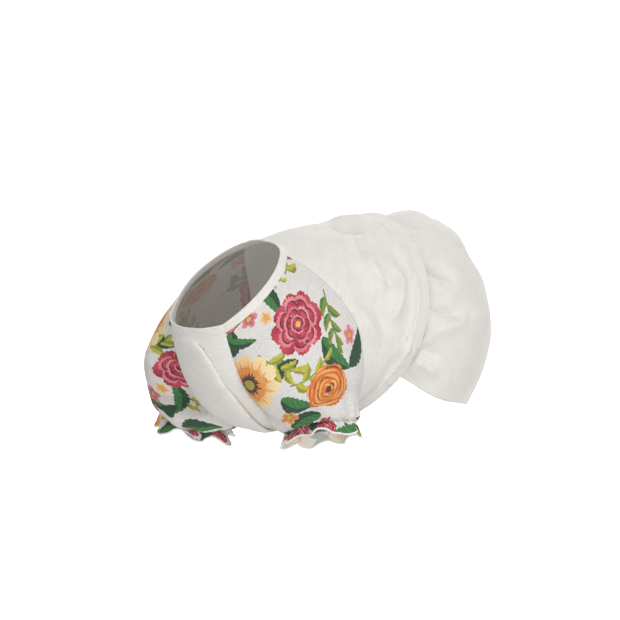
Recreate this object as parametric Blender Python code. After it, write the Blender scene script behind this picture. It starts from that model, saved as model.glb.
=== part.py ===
"""Dog shirt in its worn form: two plain body panels, two raglan sleeves, a neck band and a skirt.

Metres, +Z up. The chest faces -Y and the wearer's left is +X. The origin lies on the inside of the
back, on its centre line over the shoulders. Each table has one row per section of the garment, and
its values are shares of the sizes named below.
"""
import math

import bpy
from mathutils import Vector

# Sizes of the worn garment.
HALF_WIDTH = 0.091
LENGTH = 0.270
DEPTH = 0.216
CLOTH = 0.0012
BAND_CLOTH = 0.0022
BAND_HEIGHT = 0.0085
BAND_SMOOTHING = 12
HEM_TURN = 0.008
HEM_ROLL = 0.0016
HEM_INSET = 0.08
SEAM_GAP = 0.0003
INNER_GAP = 6.0
INNER_SPAN = 0.012

# The right foreleg is a step forward and takes its sleeve along.
REACH = 0.062
RIGHT_OUT = 0.010
RIGHT_DROP = 0.010
RIGHT_PUFF = 1.13
# How sharply the left and the right sleeve leave their seams, at the neck and at the armpit.
FRONT_LEAVE = {1: (2.5, 7.0), -1: (8.0, 6.0)}
REAR_LEAVE = {1: (2.5, 7.0), -1: (2.5, 5.0)}
# Down to FREE_ROW the right sleeve stays beside the chest.
BESIDE_CHEST = 0.003
FREE_ROW = 4.5

# Frill of a cuff.
FRILL_LOBES = 7
FRILL_WAVE = 0.0045
FRILL_DIP = 0.0030

# Rows of the tables: the raglan seams end at the armpit, the side seams go on to the hem.
ARMPIT = 8
HEM = 11
FRILL = 12
ELASTIC = 10
INNER_ROWS = (5.0, 5.5, 6.0, 6.5, 7.0, 7.5, 8.0)

# Seam between chest panel and sleeve, neck to armpit: x of HALF_WIDTH, y of LENGTH, z of DEPTH.
FRONT_SEAM = (
    (0.484, -0.530, -0.384),
    (0.500, -0.515, -0.463),
    (0.516, -0.489, -0.556),
    (0.527, -0.452, -0.662),
    (0.505, -0.389, -0.755),
    (0.451, -0.315, -0.838),
    (0.340, -0.230, -0.916),
    (0.290, -0.111, -0.954),
    (0.385, 0.015, -0.942),
)
# Seam between back panel and sleeve, neck to armpit.
REAR_SEAM = (
    (0.363, -0.196, -0.074),
    (0.637, -0.141, -0.139),
    (0.846, -0.074, -0.255),
    (0.967, -0.019, -0.380),
    (1.000, 0.011, -0.509),
    (0.978, 0.030, -0.648),
    (0.879, 0.037, -0.778),
    (0.681, 0.044, -0.878),
    (0.385, 0.015, -0.942),
)
# Seam between back panel and chest panel under the belly, armpit to hem.
SIDE_SEAM = (
    (0.385, 0.015, -0.942),
    (0.390, 0.044, -0.944),
    (0.394, 0.074, -0.946),
    (0.396, 0.100, -0.948),
)
# How far the right foreleg takes the seams along, as shares of REACH.
SEAM_PULL = (0.0, 0.0, 0.0, 0.02, 0.06, 0.12, 0.20, 0.28, 0.35, 0.33, 0.20, 0.0)

# Centre line of the chest panel: y of LENGTH, z of DEPTH, half turn of the section in degrees.
CHEST = (
    (-0.611, -0.417, 49.0),
    (-0.604, -0.505, 52.0),
    (-0.581, -0.602, 56.0),
    (-0.544, -0.704, 60.0),
    (-0.493, -0.806, 65.0),
    (-0.419, -0.889, 66.0),
    (-0.330, -0.945, 56.0),
    (-0.222, -0.972, 50.0),
    (-0.111, -0.970, 48.0),
    (-0.059, -0.970, 50.0),
    (-0.007, -0.972, 56.0),
    (0.044, -0.974, 62.0),
)
# Centre line of the back panel: y of LENGTH, z of DEPTH, widest half width of HALF_WIDTH, and
# how late the section sweeps to the front.
BACK = (
    (-0.167, -0.042, 0.632, 1.0),
    (-0.122, -0.023, 0.886, 1.1),
    (-0.067, -0.007, 0.967, 1.2),
    (0.000, 0.006, 1.001, 1.4),
    (0.067, 0.009, 1.004, 1.6),
    (0.137, 0.009, 1.004, 1.8),
    (0.207, 0.009, 1.004, 2.0),
    (0.270, 0.012, 1.006, 2.2),
    (0.322, 0.014, 1.006, 2.5),
    (0.352, 0.014, 0.998, 2.6),
    (0.374, 0.012, 0.983, 2.7),
    (0.396, 0.008, 0.962, 2.8),
)
# Row below which the back panel's section turns in under the belly.
WIDEST_ROW = 4
# Rings of a sleeve, neck to frill: centre x of HALF_WIDTH, y of LENGTH, z of DEPTH, half axes of
# HALF_WIDTH across and along, pitch in degrees, the share of REACH that the right one goes, and
# the lift of the outer side in degrees, left and right.
SLEEVE = (
    (0.000, -0.385, -0.231, 0.637, 0.791, 34.0, 0.00, 0.0, 0.0),
    (0.110, -0.333, -0.296, 0.710, 0.890, 34.7, 0.15, 0.0, 0.0),
    (0.275, -0.289, -0.389, 0.700, 0.900, 30.0, 0.35, 0.0, 0.0),
    (0.440, -0.244, -0.491, 0.637, 0.850, 27.5, 0.52, 0.0, 4.0),
    (0.571, -0.204, -0.602, 0.560, 0.760, 26.0, 0.66, 0.0, 9.0),
    (0.637, -0.167, -0.704, 0.520, 0.660, 22.0, 0.78, 8.0, 16.0),
    (0.675, -0.144, -0.795, 0.475, 0.540, 16.0, 0.88, 22.0, 26.0),
    (0.715, -0.122, -0.872, 0.445, 0.470, 7.0, 0.93, 26.0, 22.0),
    (0.732, -0.115, -0.908, 0.430, 0.440, -2.0, 0.96, 25.0, 14.0),
    (0.732, -0.115, -0.920, 0.418, 0.418, -6.0, 0.98, 25.5, 11.0),
    (0.725, -0.115, -0.930, 0.405, 0.405, -9.0, 1.00, 25.0, 9.0),
    (0.725, -0.115, -0.958, 0.430, 0.430, -9.5, 1.00, 24.0, 5.0),
    (0.725, -0.115, -0.990, 0.455, 0.455, -10.0, 1.00, 23.0, 2.0),
)
# Hem of the skirt from the centre line to the flank: x of HALF_WIDTH, y of LENGTH, z of DEPTH,
# and how far the cloth bulges halfway down, of SKIRT_BULGE.
SKIRT_HEM = (
    (0.000, 0.722, -0.060, 0.8),
    (0.350, 0.726, -0.115, 0.7),
    (0.580, 0.729, -0.225, 0.6),
    (0.750, 0.740, -0.315, 0.7),
    (0.840, 0.742, -0.407, 0.8),
    (0.910, 0.744, -0.532, 0.9),
    (0.935, 0.735, -0.648, 1.0),
    (0.930, 0.690, -0.810, 1.0),
    (0.890, 0.620, -0.963, 1.0),
)
SKIRT_BULGE = 0.012
SKIRT_SPREAD = 0.77
SKIRT_SEAM_ROW = 10.0

# Folds: radius and height of FOLD, then points of the line, as shares of the three sizes.
FOLD = 0.010
BODY_FOLDS = (
    (1.10, 0.70, ((0.06, -0.61, -0.43), (0.14, -0.59, -0.52), (0.24, -0.55, -0.60),
                  (0.27, -0.50, -0.70), (0.26, -0.42, -0.81), (0.14, -0.31, -0.92))),
    (0.60, -0.35, ((0.22, -0.60, -0.45), (0.33, -0.57, -0.53), (0.42, -0.52, -0.66),
                   (0.47, -0.46, -0.75), (0.42, -0.38, -0.83), (0.28, -0.28, -0.92))),
    (1.30, 0.45, ((-0.06, 0.16, 0.01), (0.07, 0.30, 0.01))),
    (0.70, -0.45, ((0.10, 0.10, 0.01), (0.26, 0.13, 0.00), (0.33, 0.20, -0.02))),
    (0.80, -0.25, ((0.49, 0.15, -0.06), (0.65, 0.15, -0.12))),
    (0.80, 0.35, ((0.64, 0.11, -0.11), (0.81, 0.14, -0.21), (0.90, 0.17, -0.27))),
    (0.80, 0.35, ((0.75, 0.24, -0.16), (0.87, 0.25, -0.24), (0.95, 0.23, -0.30))),
    (0.80, -0.25, ((0.72, 0.19, -0.15), (0.90, 0.20, -0.26))),
    (0.90, -0.25, ((0.63, 0.30, -0.09), (0.88, 0.31, -0.22))),
    (0.90, 0.30, ((1.00, 0.21, -0.55), (0.93, 0.30, -0.63))),
)
SKIRT_FOLDS = (
    (0.75, -0.55, ((0.80, 0.43, -0.22), (0.89, 0.51, -0.27))),
    (0.90, 0.40, ((0.88, 0.42, -0.29), (0.98, 0.53, -0.38))),
    (0.80, -0.60, ((0.96, 0.40, -0.41), (1.04, 0.52, -0.46))),
    (1.10, 0.55, ((0.98, 0.39, -0.52), (1.04, 0.55, -0.49))),
    (0.80, -0.60, ((0.96, 0.35, -0.60), (1.01, 0.41, -0.65))),
    (0.80, 0.50, ((0.94, 0.33, -0.66), (1.00, 0.42, -0.75))),
    (0.90, -0.50, ((0.90, 0.30, -0.73), (0.94, 0.35, -0.81))),
    (1.00, 0.35, ((0.99, 0.62, -0.47), (0.93, 0.72, -0.53))),
    (0.90, -0.45, ((-0.85, 0.42, -0.30), (-0.95, 0.55, -0.36))),
    (1.10, 0.50, ((-0.95, 0.42, -0.42), (-1.02, 0.60, -0.48))),
    (0.90, -0.50, ((-0.97, 0.38, -0.60), (-1.00, 0.52, -0.70))),
)
GATHERS = 11
GATHER_DEPTH = 0.03
GATHER_ROW = 9.2
GATHER_SPAN = 1.6

# Rows and columns of the meshes.
SEAM_ROWS = [0.5 * k for k in range(2 * ARMPIT + 1)]
BODY_ROWS = SEAM_ROWS + [9.0, 10.0, 11.0]
SLEEVE_ROWS = SEAM_ROWS + [9.0, 10.0, 10.5, 11.0, 11.5, 12.0]
CHEST_COLUMNS = 14
BACK_COLUMNS = 26
SLEEVE_COLUMNS = 32
SKIRT_ROWS = 10
SKIRT_COLUMNS = 28


def between(table, row):
    """Smooth values of a table at a row that may lie between two of its rows."""
    last = len(table) - 1
    low = min(int(row), last - 1)
    f = row - low
    before, a, b, after = (table[min(max(low + k, 0), last)] for k in (-1, 0, 1, 2))
    return tuple(
        q + 0.5 * f * (s - p + f * (2 * p - 5 * q + 4 * s - t + f * (3 * (q - s) + t - p)))
        for p, q, s, t in zip(before, a, b, after)
    )


def sized(x, y, z):
    return Vector((x * HALF_WIDTH, y * LENGTH, z * DEPTH))


def seam(side, row, raglan):
    """Point of a seam on the wearer's left (side 1) or right (side -1)."""
    if row > ARMPIT:
        point = sized(*between(SIDE_SEAM, row - ARMPIT))
    else:
        point = sized(*between(raglan, row))
    point.x *= side
    if side < 0:
        pull = tuple((share,) for share in SEAM_PULL)
        point.y -= REACH * between(pull, row)[0]
    return point


def chest_point(row, t):
    """Chest panel at a row and at t from -1 on the right seam to 1 on the left one."""
    y, z, turn = between(CHEST, row)
    middle = sized(0.0, y, z)
    edge = seam(1 if t >= 0 else -1, row, FRONT_SEAM)
    full = math.radians(turn)
    angle = full * abs(t)
    share = (1 - math.cos(angle)) / (1 - math.cos(full))
    point = middle.lerp(edge, share)
    point.x = edge.x * math.sin(angle) / math.sin(full)
    return point


def back_point(row, t):
    """Back panel at a row and at t from -1 on the right seam to 1 on the left one."""
    y, z, width, sweep = between(BACK, row)
    middle = sized(0.0, y, z)
    edge = seam(1 if t >= 0 else -1, row, REAR_SEAM)
    full = math.asin(min(1.0, abs(edge.x) / (width * HALF_WIDTH)))
    if row > WIDEST_ROW:
        full = math.pi - full
    angle = full * abs(t)
    share = (1 - math.cos(angle)) / (1 - math.cos(full))
    point = middle.lerp(edge, share)
    point.x = edge.x * math.sin(angle) / math.sin(full)
    point.y = middle.y + (edge.y - middle.y) * share ** sweep
    return point


def gathered(row, t, angle):
    """Share of a sleeve's radius at its gathers over the elastic, none on the seams."""
    bell = math.exp(-((row - GATHER_ROW) / GATHER_SPAN) ** 2) * min(1.0, 5 * t, 5 * (1 - t))
    return 1 + GATHER_DEPTH * bell * math.sin(GATHERS * angle + 1.3 * math.sin(3 * angle))


def sleeve_point(side, row, t):
    """Sleeve at a row and at t from 0 on the front seam to 1 on the rear one."""
    x, y, z, across, along, pitch, reach, lift, right_lift = between(SLEEVE, row)
    centre = sized(x, y, z)
    across *= HALF_WIDTH
    along *= HALF_WIDTH
    if side < 0:
        centre += Vector((RIGHT_OUT, -REACH, -RIGHT_DROP)) * reach
        puff = 1 + (RIGHT_PUFF - 1) * math.sin(math.pi * min(row / ARMPIT, 1.0) ** 0.6)
        across *= puff
        along *= puff
        lift = right_lift
    slope = math.radians(pitch)
    lift = math.radians(lift)
    out = Vector((math.cos(lift), 0.0, math.sin(lift)))
    back = Vector((0.0, math.cos(slope), math.sin(slope)))

    def ring(angle):
        return centre + out * across * math.cos(angle) + back * along * math.sin(angle)

    def ends(seam_row):
        found = []
        for raglan in (FRONT_SEAM, REAR_SEAM):
            point = seam(side, seam_row, raglan)
            point.x *= side
            found.append(point)
        return found

    front, rear = ends(min(row, ARMPIT))
    if row > ARMPIT:
        fade = max(0.0, 1 - (row - ARMPIT) / 2) ** 2
        x8, y8, z8 = between(SLEEVE, ARMPIT)[:3]
        heart = sized(x8, y8, z8)
        if side < 0:
            heart += Vector((RIGHT_OUT, -REACH, -RIGHT_DROP)) * SLEEVE[ARMPIT][6]
        aim = math.atan2(front.y - heart.y, front.x - heart.x)
        start = aim - 2 * math.pi
        stop = aim
        angle = start + (stop - start) * t
        radius = SLEEVE[ARMPIT][3] * HALF_WIDTH
        stray = front - heart - Vector((math.cos(aim), math.sin(aim), 0.0)) * radius
        near = max((1 - t) ** FRONT_LEAVE[side][1], t ** REAR_LEAVE[side][1])
        point = centre + (ring(angle) - centre) * gathered(row, t, angle) + stray * near * fade
        depth = max(0.0, (row - ELASTIC) / (FRILL - ELASTIC))
        wave = math.sin(FRILL_LOBES * angle)
        radial = out * math.cos(angle) + back * math.sin(angle)
        point += radial * FRILL_WAVE * depth * wave
        point.z -= FRILL_DIP * depth * math.sin(FRILL_LOBES * angle + 0.9)
    else:
        limits = []
        for point in (front, rear):
            local = point - centre
            limits.append(math.atan2(local.dot(back) / along, local.dot(out) / across))
        if limits[0] > 0.5:
            limits[0] -= 2 * math.pi
        if side < 0:
            beside = -math.acos(max(-1.0, (front.x - centre.x + BESIDE_CHEST) / across))
            free = min(1.0, max(0.0, row - FREE_ROW))
            limits[0] += (max(limits[0], beside) - limits[0]) * (1 - free)
        angle = limits[0] + (limits[1] - limits[0]) * t
        point = centre + (ring(angle) - centre) * gathered(row, t, angle)
        low = (row / ARMPIT) ** 2
        leave = [a + (b - a) * low for a, b in (FRONT_LEAVE[side], REAR_LEAVE[side])]
        point += (front - ring(limits[0])) * (1 - t) ** leave[0]
        point += (rear - ring(limits[1])) * t ** leave[1]
    point.x *= side
    return point


def distance_to(point, line):
    """Distance of a point from a line of points."""
    best = None
    for a, b in zip(line, line[1:]):
        along = b - a
        share = min(1.0, max(0.0, (point - a).dot(along) / along.length_squared))
        away = (point - a - along * share).length
        if best is None or away < best:
            best = away
    return best


def add_folds(sheet, folds, weights):
    """Move the points of a sheet in and out along their normals."""
    lines = [(r * FOLD, h * FOLD, [sized(*p) for p in line]) for r, h, line in folds]
    points = []
    for point, normal, weight in zip(sheet["points"], sheet["normals"], weights):
        height = 0.0
        for radius, rise, line in lines:
            height += rise * math.exp(-(distance_to(point, line) / radius) ** 2)
        points.append(point + normal * height * weight)
    sheet["points"] = points


def rows_of(sheet, width):
    points = sheet["points"]
    return [points[k:k + width] for k in range(0, len(points), width)]


def grid(rows, closed_from=None, flip=False):
    """Points and cells of a sheet; from the row closed_from its last column meets its first."""
    points = []
    index = []
    for i, row in enumerate(rows):
        numbers = []
        for j, point in enumerate(row):
            closed = closed_from is not None and i >= closed_from
            if closed and j == len(row) - 1:
                numbers.append(numbers[0])
            else:
                numbers.append(len(points))
                points.append(point)
        index.append(numbers)
    cells = []
    for i in range(len(rows) - 1):
        for j in range(len(rows[0]) - 1):
            cell = [index[i][j], index[i + 1][j], index[i + 1][j + 1], index[i][j + 1]]
            cells.append(cell[::-1] if flip else cell)
    return {"points": points, "cells": cells}


def add_normals(sheets):
    """Give the sheets outward normals that are the same wherever they meet."""
    total = {}
    for sheet in sheets:
        for cell in sheet["cells"]:
            a, b, c, d = (sheet["points"][k] for k in cell)
            area = (c - a).cross(d - b)
            for k in cell:
                name = place(sheet["points"][k])
                total[name] = total.get(name, Vector()) + area
    for sheet in sheets:
        sheet["normals"] = [total[place(point)].normalized() for point in sheet["points"]]


def open_edges(cells):
    """Directed edges that belong to one cell only."""
    seen = {}
    for cell in cells:
        for k in range(4):
            a, b = cell[k], cell[(k + 1) % 4]
            if (b, a) in seen:
                del seen[(b, a)]
            else:
                seen[(a, b)] = True
    return list(seen)


def place(point):
    return tuple(round(value * 1e5) for value in point)


def edge_directions(sheet):
    """For each point on an open edge, the way from there into the sheet."""
    edges = open_edges(sheet["cells"])
    ahead = dict(edges)
    behind = {b: a for a, b in edges}
    middle = {}
    for cell in sheet["cells"]:
        centre = sum((sheet["points"][k] for k in cell), Vector()) / 4
        for k in cell:
            middle.setdefault(k, []).append(centre)
    inward = {}
    for k in ahead:
        point = sheet["points"][k]
        along = (sheet["points"][ahead[k]] - sheet["points"][behind[k]]).normalized()
        way = sum(middle[k], Vector()) / len(middle[k]) - point
        inward[k] = (way - along * way.dot(along)).normalized()
    return inward


def part_seams(sheets, distance):
    """Move the open edges away from those of the next sheet, so that a small gap is left.

    The gap is wider inside the forelegs, where two edges of cloth hang side by side.
    """
    corners = [seam(side, row, table) for side in (1, -1) for row in INNER_ROWS
               for table in (FRONT_SEAM, REAR_SEAM)]
    ways = [edge_directions(sheet) for sheet in sheets]
    shared = {}
    for sheet, inward in zip(sheets, ways):
        for k, way in inward.items():
            name = place(sheet["points"][k])
            shared[name] = shared.get(name, Vector()) + way
    for sheet, inward in zip(sheets, ways):
        for k, way in inward.items():
            point = sheet["points"][k]
            others = shared[place(point)] - way
            away = (way - others * 0.5).normalized()
            near = min((point - corner).length for corner in corners)
            wide = 1 + INNER_GAP * math.exp(-(near / INNER_SPAN) ** 2)
            inward[k] = point + away * distance * wide
    for sheet, inward in zip(sheets, ways):
        for k, point in inward.items():
            sheet["points"][k] = point


def piece(name, sheet, thickness, colour):
    """One closed solid from a sheet of cloth."""
    points = sheet["points"]
    count = len(points)
    half = thickness / 2
    outer = [p + n * half for p, n in zip(points, sheet["normals"])]
    inner = [p - n * half for p, n in zip(points, sheet["normals"])]
    faces = [tuple(cell) for cell in sheet["cells"]]
    faces += [tuple(k + count for k in reversed(cell)) for cell in sheet["cells"]]
    for a, b in open_edges(sheet["cells"]):
        faces.append((b, a, a + count, b + count))
    mesh = bpy.data.meshes.new(name)
    mesh.from_pydata(outer + inner, [], faces)
    mesh.validate()
    made = bpy.data.objects.new(name, mesh)
    bpy.context.scene.collection.objects.link(made)
    material = bpy.data.materials.new(name)
    material.use_nodes = True
    shader = material.node_tree.nodes["Principled BSDF"]
    shader.inputs["Base Color"].default_value = (*colour, 1.0)
    shader.inputs["Roughness"].default_value = 0.9
    mesh.materials.append(material)
    return made


def steps(count, start=-1.0, stop=1.0):
    return [start + (stop - start) * k / count for k in range(count + 1)]


def with_turned_hem(rows, sheet, flip):
    """The sheet again, with its last row turned round and carried forward inside it."""
    width = len(rows[0])
    last = sheet["normals"][-width:]
    roll = []
    turn = []
    corners = []
    for point, ahead, normal in zip(rows[-1], rows[-3], last):
        forward = (ahead - point).normalized()
        roll.append(point - normal * HEM_ROLL)
        turn.append(point - normal * HEM_ROLL * 1.15 + forward * HEM_TURN)
        corners.append((normal - forward).normalized())
    for row in (roll, turn):
        row[0] = row[0].lerp(row[1], HEM_INSET)
        row[-1] = row[-1].lerp(row[-2], HEM_INSET)
    whole = grid(rows + [roll, turn], flip=flip)
    inside = [(corner - normal * 1.42).normalized() for corner, normal in zip(corners, last)]
    whole["normals"] = sheet["normals"][:-width] + corners + inside + [-n for n in last]
    return whole


for old in list(bpy.data.objects):
    bpy.data.objects.remove(old, do_unlink=True)

chest_rows = [[chest_point(row, t) for t in steps(CHEST_COLUMNS)] for row in BODY_ROWS]
back_rows = [[back_point(row, t) for t in steps(BACK_COLUMNS)] for row in BODY_ROWS]
sleeve_rows = {}
for side in (1, -1):
    sleeve_rows[side] = [
        [sleeve_point(side, row, t) for t in steps(SLEEVE_COLUMNS, 0.0)] for row in SLEEVE_ROWS
    ]

chest = grid(chest_rows)
back = grid(back_rows, flip=True)
left = grid(sleeve_rows[1], closed_from=2 * ARMPIT)
right = grid(sleeve_rows[-1], closed_from=2 * ARMPIT, flip=True)
add_normals([chest, back, left, right])

fade = [min(1.0, row, (HEM - row) / 2) for row in BODY_ROWS]
for sheet, width in ((chest, CHEST_COLUMNS + 1), (back, BACK_COLUMNS + 1)):
    add_folds(sheet, BODY_FOLDS, [share for share in fade for _ in range(width)])
for sheet in (left, right):
    fade = [min(1.0, row) for row in SEAM_ROWS for _ in range(SLEEVE_COLUMNS + 1)]
    fade += [1.0] * (len(sheet["points"]) - len(fade))
    add_folds(sheet, BODY_FOLDS, fade)
add_normals([chest, back, left, right])

# Both rear hems are turned under.
chest = with_turned_hem(rows_of(chest, CHEST_COLUMNS + 1), chest, False)
back = with_turned_hem(rows_of(back, BACK_COLUMNS + 1), back, True)

# The skirt starts inside the hem.
skirt_rows = []
seam_row = [back_point(SKIRT_SEAM_ROW, SKIRT_SPREAD * t) for t in steps(SKIRT_COLUMNS)]
edge_row = [back_point(HEM, SKIRT_SPREAD * t) for t in steps(SKIRT_COLUMNS)]
nest = CLOTH * 1.4 + HEM_ROLL * 1.6
hem_row = []
bulges = []
for t in steps(SKIRT_COLUMNS):
    x, y, z, bulge = between(SKIRT_HEM, abs(t) * (len(SKIRT_HEM) - 1))
    point = sized(x, y, z)
    point.x *= 1 if t >= 0 else -1
    hem_row.append(point)
    bulges.append(bulge * SKIRT_BULGE)
heart = Vector((0.0, 0.25 * LENGTH, -0.45 * DEPTH))
for r in range(SKIRT_ROWS + 1):
    f = r / SKIRT_ROWS
    row = []
    for a, b, c, bulge in zip(seam_row, edge_row, hem_row, bulges):
        inward = Vector((heart.x - b.x, 0.0, heart.z - b.z)).normalized()
        start = a + inward * nest
        edge = b + inward * nest
        if f < 0.12:
            row.append(start.lerp(edge, f / 0.12))
        else:
            down = (f - 0.12) / 0.88
            row.append(edge.lerp(c, down) - inward * bulge * math.sin(math.pi * down) ** 1.5)
    skirt_rows.append(row)
skirt = grid(skirt_rows, flip=True)
add_normals([skirt])
free = [min(1.0, max(0.0, (r / SKIRT_ROWS - 0.12) / 0.15)) for r in range(SKIRT_ROWS + 1)]
add_folds(skirt, SKIRT_FOLDS, [share for share in free for _ in range(SKIRT_COLUMNS + 1)])
add_normals([skirt])

# The neck band stands on the neck edges of the panels and sleeves.
ring = []
lean = []
for t in steps(CHEST_COLUMNS)[:-1]:
    ring.append(chest_point(0, t))
    lean.append(chest_point(0, t) - chest_point(0.5, t))
for t in steps(SLEEVE_COLUMNS, 0.0)[:-1]:
    ring.append(sleeve_point(1, 0, t))
    lean.append(sleeve_point(1, 0, t) - sleeve_point(1, 0.5, t))
for t in reversed(steps(BACK_COLUMNS)[1:]):
    ring.append(back_point(0, t))
    lean.append(back_point(0, t) - back_point(0.5, t))
for t in reversed(steps(SLEEVE_COLUMNS, 0.0)[1:]):
    ring.append(sleeve_point(-1, 0, t))
    lean.append(sleeve_point(-1, 0, t) - sleeve_point(-1, 0.5, t))
for _ in range(BAND_SMOOTHING):
    lean = [lean[k - 1] + lean[k] * 2 + lean[(k + 1) % len(lean)] for k in range(len(lean))]
    lean = [away.normalized() for away in lean]
slope = math.radians(SLEEVE[0][5])
axis = Vector((0.0, -math.sin(slope), math.cos(slope)))
band_rows = []
for height in (BAND_HEIGHT, 2 * SEAM_GAP):
    row = []
    for point, away in zip(ring, lean):
        direction = (away.normalized() + axis).normalized()
        row.append(point + direction * height)
    band_rows.append(row + [row[0]])
band = grid(band_rows, closed_from=0)
add_normals([band])

part_seams([chest, back, left, right], SEAM_GAP / 2)

WHITE = (0.86, 0.85, 0.82)
PRINT = (0.78, 0.62, 0.52)
piece("chest_panel", chest, CLOTH, WHITE)
piece("back_panel", back, CLOTH, WHITE)
piece("left_sleeve", left, CLOTH, PRINT)
piece("right_sleeve", right, CLOTH, PRINT)
piece("skirt", skirt, CLOTH, WHITE)
piece("neck_band", band, BAND_CLOTH, WHITE)
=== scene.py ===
"""Looks of the dog shirt: fine cloth sheets with folds, gathers, hems, stitches and a flower print.

Metres, +Z up, the chest faces -Y and the wearer's left is +X. The surfaces follow the same tables
and functions as the part's source, with finer rows and columns.
"""
import math

import bpy
import numpy as np
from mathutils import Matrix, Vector


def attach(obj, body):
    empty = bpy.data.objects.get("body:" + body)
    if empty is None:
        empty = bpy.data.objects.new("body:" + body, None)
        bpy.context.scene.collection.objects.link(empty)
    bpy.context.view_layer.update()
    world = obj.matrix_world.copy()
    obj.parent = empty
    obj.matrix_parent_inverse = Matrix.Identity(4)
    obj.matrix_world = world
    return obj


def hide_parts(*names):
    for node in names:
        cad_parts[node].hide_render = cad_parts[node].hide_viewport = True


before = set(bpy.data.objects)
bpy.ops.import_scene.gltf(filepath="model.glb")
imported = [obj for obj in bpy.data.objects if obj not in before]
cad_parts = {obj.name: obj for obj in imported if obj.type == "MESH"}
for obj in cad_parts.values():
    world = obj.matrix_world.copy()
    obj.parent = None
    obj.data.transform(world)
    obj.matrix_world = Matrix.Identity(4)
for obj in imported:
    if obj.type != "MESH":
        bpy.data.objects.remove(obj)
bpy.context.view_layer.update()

# Sizes of the worn garment.
HALF_WIDTH = 0.091
LENGTH = 0.270
DEPTH = 0.216
SIZES = np.array((HALF_WIDTH, LENGTH, DEPTH))
CLOTH = 0.0009
CAD_CLOTH = 0.0012
HEM_TURN = 0.008
HEM_ROLL = 0.0016
REACH = 0.062
RIGHT_OUT = 0.010
RIGHT_DROP = 0.010
RIGHT_PUFF = 1.13
PUFF_RISE = 0.6
FRONT_LEAVE = {1: (2.5, 7.0), -1: (8.0, 6.0)}
REAR_LEAVE = {1: (2.5, 7.0), -1: (2.5, 5.0)}
BESIDE_CHEST = 0.003
FREE_ROW = 4.5
LAST_FRONT_ANGLE = 0.5
STRAY_ROWS = 2

# Rows of the tables: the raglan seams end at the armpit, the side seams go on to the hem, and the
# sleeves to the frill's edge.
ARMPIT = 8
HEM = 11
FRILL = 12
ELASTIC = 10

# Seam between chest panel and sleeve, neck to armpit: x of HALF_WIDTH, y of LENGTH, z of DEPTH.
FRONT_SEAM = (
    (0.484, -0.530, -0.384),
    (0.500, -0.515, -0.463),
    (0.516, -0.489, -0.556),
    (0.527, -0.452, -0.662),
    (0.505, -0.389, -0.755),
    (0.451, -0.315, -0.838),
    (0.340, -0.230, -0.916),
    (0.290, -0.111, -0.954),
    (0.385, 0.015, -0.942),
)
# Seam between back panel and sleeve, neck to armpit.
REAR_SEAM = (
    (0.363, -0.196, -0.074),
    (0.637, -0.141, -0.139),
    (0.846, -0.074, -0.255),
    (0.967, -0.019, -0.380),
    (1.000, 0.011, -0.509),
    (0.978, 0.030, -0.648),
    (0.879, 0.037, -0.778),
    (0.681, 0.044, -0.878),
    (0.385, 0.015, -0.942),
)
# Seam between back panel and chest panel under the belly, armpit to hem.
SIDE_SEAM = (
    (0.385, 0.015, -0.942),
    (0.390, 0.044, -0.944),
    (0.394, 0.074, -0.946),
    (0.396, 0.100, -0.948),
)
# How far the right foreleg takes the seams along, as shares of REACH.
SEAM_PULL = (0.0, 0.0, 0.0, 0.02, 0.06, 0.12, 0.20, 0.28, 0.35, 0.33, 0.20, 0.0)

# Centre line of the chest panel: y of LENGTH, z of DEPTH, half turn of the section in degrees.
CHEST = (
    (-0.611, -0.417, 49.0),
    (-0.604, -0.505, 52.0),
    (-0.581, -0.602, 56.0),
    (-0.544, -0.704, 60.0),
    (-0.493, -0.806, 65.0),
    (-0.419, -0.889, 66.0),
    (-0.330, -0.945, 56.0),
    (-0.222, -0.972, 50.0),
    (-0.111, -0.970, 48.0),
    (-0.059, -0.970, 50.0),
    (-0.007, -0.972, 56.0),
    (0.044, -0.974, 62.0),
)
# Centre line of the back panel: y of LENGTH, z of DEPTH, widest half width of HALF_WIDTH, and
# how late the section sweeps to the front.
BACK = (
    (-0.167, -0.042, 0.632, 1.0),
    (-0.122, -0.023, 0.886, 1.1),
    (-0.067, -0.007, 0.967, 1.2),
    (0.000, 0.006, 1.001, 1.4),
    (0.067, 0.009, 1.004, 1.6),
    (0.137, 0.009, 1.004, 1.8),
    (0.207, 0.009, 1.004, 2.0),
    (0.270, 0.012, 1.006, 2.2),
    (0.322, 0.014, 1.006, 2.5),
    (0.352, 0.014, 0.998, 2.6),
    (0.374, 0.012, 0.983, 2.7),
    (0.396, 0.008, 0.962, 2.8),
)
WIDEST_ROW = 4
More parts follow.
